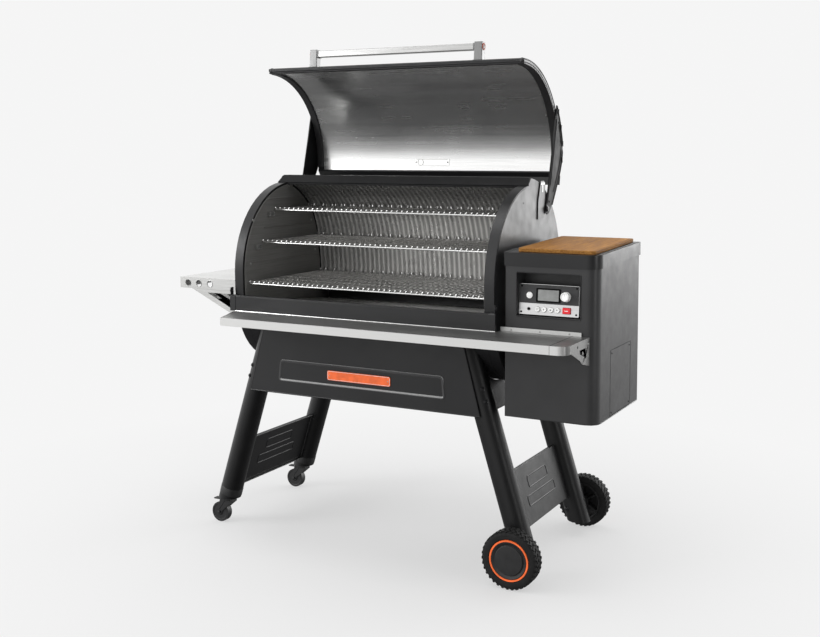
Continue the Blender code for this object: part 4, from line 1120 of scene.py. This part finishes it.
def add_tread(bm, centre, side):
    """Two staggered rows of slanted blocks, and short ribs on both shoulders."""
    axis = Vector((0, side, 0))
    for row, (middle, twist) in enumerate(((0.0165, 24.0), (WHEEL_WIDTH - 0.0165, -24.0))):
        slant = Matrix.Rotation(math.radians(twist * side), 4, "Z")
        low, high = span(side, middle - 0.0088, middle + 0.0088)
        for number in range(BLOCKS):
            angle = 2 * math.pi * (number + 0.5 * row) / BLOCKS
            turn = Matrix.Rotation(side * angle, 4, "Y")
            upright = (Matrix.Translation(centre) @ turn @ slant).inverted()
            place = Matrix.Translation(centre) @ turn @ Matrix.Translation((0, side * middle, 0)) \
                @ slant @ Matrix.Translation((0, -side * middle, 0))
            for vert in add_box(bm, (-0.0046, low, TREAD_R - 0.0012), (0.0046, high, BLOCK_R), place):
                if (upright @ vert.co).z > 0.086:
                    foot = centre + axis * (vert.co - centre).dot(axis)
                    vert.co += (foot - vert.co).normalized() * 0.0003
    for row, height in enumerate((0.0048, WHEEL_WIDTH - 0.0048)):
        low, high = span(side, height - 0.0030, height + 0.0030)
        for number in range(BLOCKS):
            angle = 2 * math.pi * (number + 0.25 + 0.5 * row) / BLOCKS
            turn = Matrix.Translation(centre) @ Matrix.Rotation(side * angle, 4, "Y")
            add_box(bm, (-0.0036, low, 0.0815), (0.0036, high, 0.0866), turn)


def tyre_details(name, body, centre, side):
    width = WHEEL_WIDTH
    axis = (0, side, 0)
    wall = [(0.0622, 0.0034), (0.0636, 0.0010), (0.0670, 0.0003), (0.0750, 0.0003), (0.0808, 0.0014),
            (0.0838, 0.0040)]
    tread = [(TREAD_R, 0.0074), (TREAD_R, width - 0.0074)]
    bead = [(0.0722, width - 0.0008), (0.0728, width - 0.0001), (0.0738, width - 0.0001),
            (0.0744, width - 0.0008)]
    bm = bmesh.new()
    add_turned(bm, wall + tread + [(r, width - h) for r, h in wall[::-1]], centre, axis, 72)
    add_turned(bm, bead, centre, axis, 72)
    add_tread(bm, centre, side)
    tyre = piece("tread_" + name, bm, RUBBER, body, edge=0.0006, sharp=50.0)
    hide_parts("tyre_" + name)


def big_wheel_details(name, side):
    """Treaded tyre, coloured ring, spoked hub face and axle cap of one big wheel."""
    body = "wheel_" + name
    centre = Vector((leg_x(WHEEL_R), LEG_Y[name] + side * (LEG_R + 0.0270), WHEEL_R))
    axis = (0, side, 0)
    width = WHEEL_WIDTH
    tyre_details(name, body, centre, side)
    bm = bmesh.new()
    ring = [(0.0562, width - 0.0034), (0.0566, width - 0.0006), (0.0612, width - 0.0004),
            (0.0620, width - 0.0036)]
    add_turned(bm, ring, centre, axis, 72)
    piece("wheel_ring_" + name, bm, ORANGE, body, sharp=60.0)
    bm = bmesh.new()
    whole = [(0.0088, 0.0020), (0.0200, 0.0020), (0.0205, 0.0300), (0.0560, 0.0300), (0.0565, 0.0020),
             (0.0620, 0.0020), (0.0620, width - 0.0032), (0.0562, width - 0.0028), (0.0545, width - 0.0012),
             (0.0500, width - 0.0026), (0.0462, width - 0.0042), (0.0446, width - 0.0042),
             (0.0436, width - 0.0010), (0.0420, width - 0.0004), (0.0088, width - 0.0002)]
    add_turned(bm, whole, centre, axis, 64)
    low, high = span(side, 0.0040, 0.0290)
    for number in range(6):
        turn = Matrix.Translation(centre) @ Matrix.Rotation(2 * math.pi * number / 6, 4, "Y")
        add_box(bm, (-0.0022, low, 0.0215), (0.0022, high, 0.0555), turn)
    hub = piece("hub_face_" + name, bm, PLASTIC, body, edge=0.0005, sharp=50.0)
    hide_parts("hub_" + name)
    bm = bmesh.new()
    cap = [(0.0, width - 0.0002), (0.0090, width - 0.0002), (0.0, width - 0.0016)]
    add_turned(bm, cap, centre, axis, 64)
    piece("axle_cap_" + name, bm, PLASTIC, body, sharp=50.0)


CASTER_R, CASTER_TRAIL, CASTER_LEG_Z = 0.034, 0.034, 0.090


def caster_details(name):
    """Swivel ring, fork ribs and axle nuts; grooved wheel faces; the lever's pad."""
    x = -leg_x(CASTER_LEG_Z)
    y = LEG_Y[name]
    axle = Vector((x - CASTER_TRAIL, y, CASTER_R))
    bm = bmesh.new()
    race = [(0.0135, 0.0845), (0.0215, 0.0845), (0.0225, 0.0862), (0.0215, 0.0882), (0.0135, 0.0884)]
    add_turned(bm, race, (x, y, 0.0), UP, 32)
    for across in SIDES:
        add_screw(bm, axle + Vector((0.0, across * 0.0186, 0.0)), (0, across, 0), 0.0052, 0.0024, False)
        rib = [(0.0120, 0.0800), (-0.0120, 0.0780), (-CASTER_TRAIL - 0.0020, 0.0440)]
        add_sweep(bm, [(x + u, y + across * 0.0156, v) for u, v in rib], circle(0.0016, 6), up=(0, 1, 0))
    piece("caster_fittings_" + name, bm, PLASTIC, "caster_" + name, sharp=50.0)
    bm = bmesh.new()
    for across in SIDES:
        face = [(0.0295, 0.0108), (0.0290, 0.0116), (0.0262, 0.0116), (0.0255, 0.0108)]
        add_turned(bm, face, axle, (0, across, 0), 40)
        hub = [(0.0060, 0.0108), (0.0064, 0.0120), (0.0110, 0.0118), (0.0125, 0.0108)]
        add_turned(bm, hub, axle, (0, across, 0), 32)
    piece("caster_rings_" + name, bm, PLASTIC, "caster_wheel_" + name, sharp=50.0)
    bm = bmesh.new()
    start = x - CASTER_TRAIL - 0.0275
    for step in range(4):
        at = start + 0.0030 + 0.0045 * step
        add_box(bm, (at - 0.0010, y - 0.0080, 0.0797), (at + 0.0010, y + 0.0080, 0.0806))
    piece("lever_ribs_" + name, bm, PLASTIC, "brake_lever_" + name, edge=0.0003)


# ---------------------------------------------------------------- camera and light

def camera():
    cam = bpy.data.objects.new("camera", bpy.data.cameras.new("camera"))
    bpy.context.scene.collection.objects.link(cam)
    cam.data.lens = 49.10
    cam.data.sensor_width = 36.0
    cam.data.shift_y = -0.102
    cam.location = (1.7582, -3.2314, 1.2729)
    azimuth, down = math.radians(28.0914), math.radians(4.1476)
    level = math.cos(down)
    aim = Vector((-math.sin(azimuth) * level, math.cos(azimuth) * level, -math.sin(down)))
    cam.rotation_euler = aim.to_track_quat("-Z", "Y").to_euler()
    bpy.context.scene.camera = cam


def area_light(name, place, aim, size, power):
    data = bpy.data.lights.new(name, "AREA")
    data.shape = "RECTANGLE"
    data.size, data.size_y = size
    data.energy = power
    lamp = bpy.data.objects.new(name, data)
    lamp.location = place
    lamp.rotation_euler = (Vector(aim) - Vector(place)).to_track_quat("-Z", "Y").to_euler()
    lamp.visible_camera = False
    bpy.context.scene.collection.objects.link(lamp)


DARK_SIDE = (0.88, -0.47, 0.0)    # direction of the dark side of the room
PAPER = 0.915                     # brightness of the pale background
GLOW = 1.5                        # brightest part of the room, at eye level
ROOM = ((0.00, 0.05), (0.22, 0.08), (0.36, 0.25), (0.405, 0.40), (0.455, 0.85), (0.50, 1.0), (0.62, 0.80),
        (1.00, 0.62))             # (height from straight down to straight up, share of GLOW)


def world():
    """Pale paper behind; for light and reflections, a room that is brightest at eye level."""
    made = bpy.data.worlds.new("studio")
    made.use_nodes = True
    tree = made.node_tree
    sky = tree.nodes["Background"]
    toward = node(tree, "TexCoord").outputs["Generated"]
    height = node(tree, "SeparateXYZ", {0: toward}).outputs[2]
    level = spread(tree, height, 0.0, 1.0, -1.0, 1.0)
    ramp = node(tree, "ValToRGB", {"Fac": level})
    stops = ramp.color_ramp.elements
    stops[0].position, stops[1].position = ROOM[0][0], ROOM[-1][0]
    for place, _ in ROOM[1:-1]:
        stops.new(place)
    for stop, (_, share) in zip(stops, ROOM):
        stop.color = (share, share, share, 1.0)
    room = math_of(tree, "MULTIPLY", ramp.outputs["Color"], GLOW)
    facing = node(tree, "VectorMath", {0: toward, 1: DARK_SIDE}, operation="DOT_PRODUCT").outputs["Value"]
    room = math_of(tree, "MULTIPLY", room, spread(tree, facing, 1.0, 0.10, 0.50, 0.86))
    seen = node(tree, "LightPath").outputs["Is Camera Ray"]
    strength = node(tree, "Mix", {"Factor": seen, "A": room, "B": PAPER}, data_type="FLOAT")
    tree.links.new(strength.outputs["Result"], sky.inputs["Strength"])
    sky.inputs["Color"].default_value = (1.0, 1.0, 1.0, 1.0)
    bpy.context.scene.world = made


def floor():
    """Pale paper that takes soft shadows near the grill and fades into the background further out."""
    bm = bmesh.new()
    bmesh.ops.create_circle(bm, cap_ends=True, segments=64, radius=60.0)
    mesh = bpy.data.meshes.new("floor")
    bm.to_mesh(mesh)
    bm.free()
    made = bpy.data.objects.new("floor", mesh)
    made.location = (0.0, 0.0, -0.0005)
    mat, tree, shader = shader_of("floor_paper", (0.62, 0.62, 0.62), 0.9, Specular_IOR_Level=0.1)
    add_bump(tree, shader, (noise_of(tree, 300.0), 0.0001))
    place = node(tree, "TexCoord").outputs["Object"]
    far = node(tree, "VectorMath", {0: place}, operation="LENGTH").outputs["Value"]
    blend = spread(tree, far, 0.50, 1.0, 0.4, 2.0)
    glow = node(tree, "Emission", {"Color": (PAPER, PAPER, PAPER, 1.0), "Strength": 1.0}).outputs[0]
    mixed = node(tree, "MixShader", {0: blend, 1: shader.outputs[0], 2: glow}).outputs[0]
    tree.links.new(mixed, tree.nodes["Material Output"].inputs["Surface"])
    mesh.materials.append(mat)
    made.visible_glossy = False
    bpy.context.scene.collection.objects.link(made)


def studio():
    bpy.context.scene.view_settings.view_transform = "Standard"
    world()
    floor()
    area_light("softbox_top", (0.1, -0.8, 4.2), (0.0, 0.0, 0.8), (2.6, 1.0), 36.0)
    area_light("softbox_left", (-3.2, -2.6, 2.3), (-0.1, 0.0, 0.9), (1.6, 1.6), 60.0)
    area_light("strip_right", (3.4, -1.1, 0.80), (0.7, -0.2, 0.9), (0.16, 0.60), 9.0)
    area_light("softbox_right", (2.2, 4.0, 1.5), (0.6, 0.0, 0.8), (2.6, 1.8), 58.0)


camera()
studio()
dress_all()
lid_details()
chamber_details()
panel_details()
hopper_details()
access_gap_shade()
shelf_details()
stand_details()
for name, side in PLACES:
    big_wheel_details(name, side)
    caster_details(name)
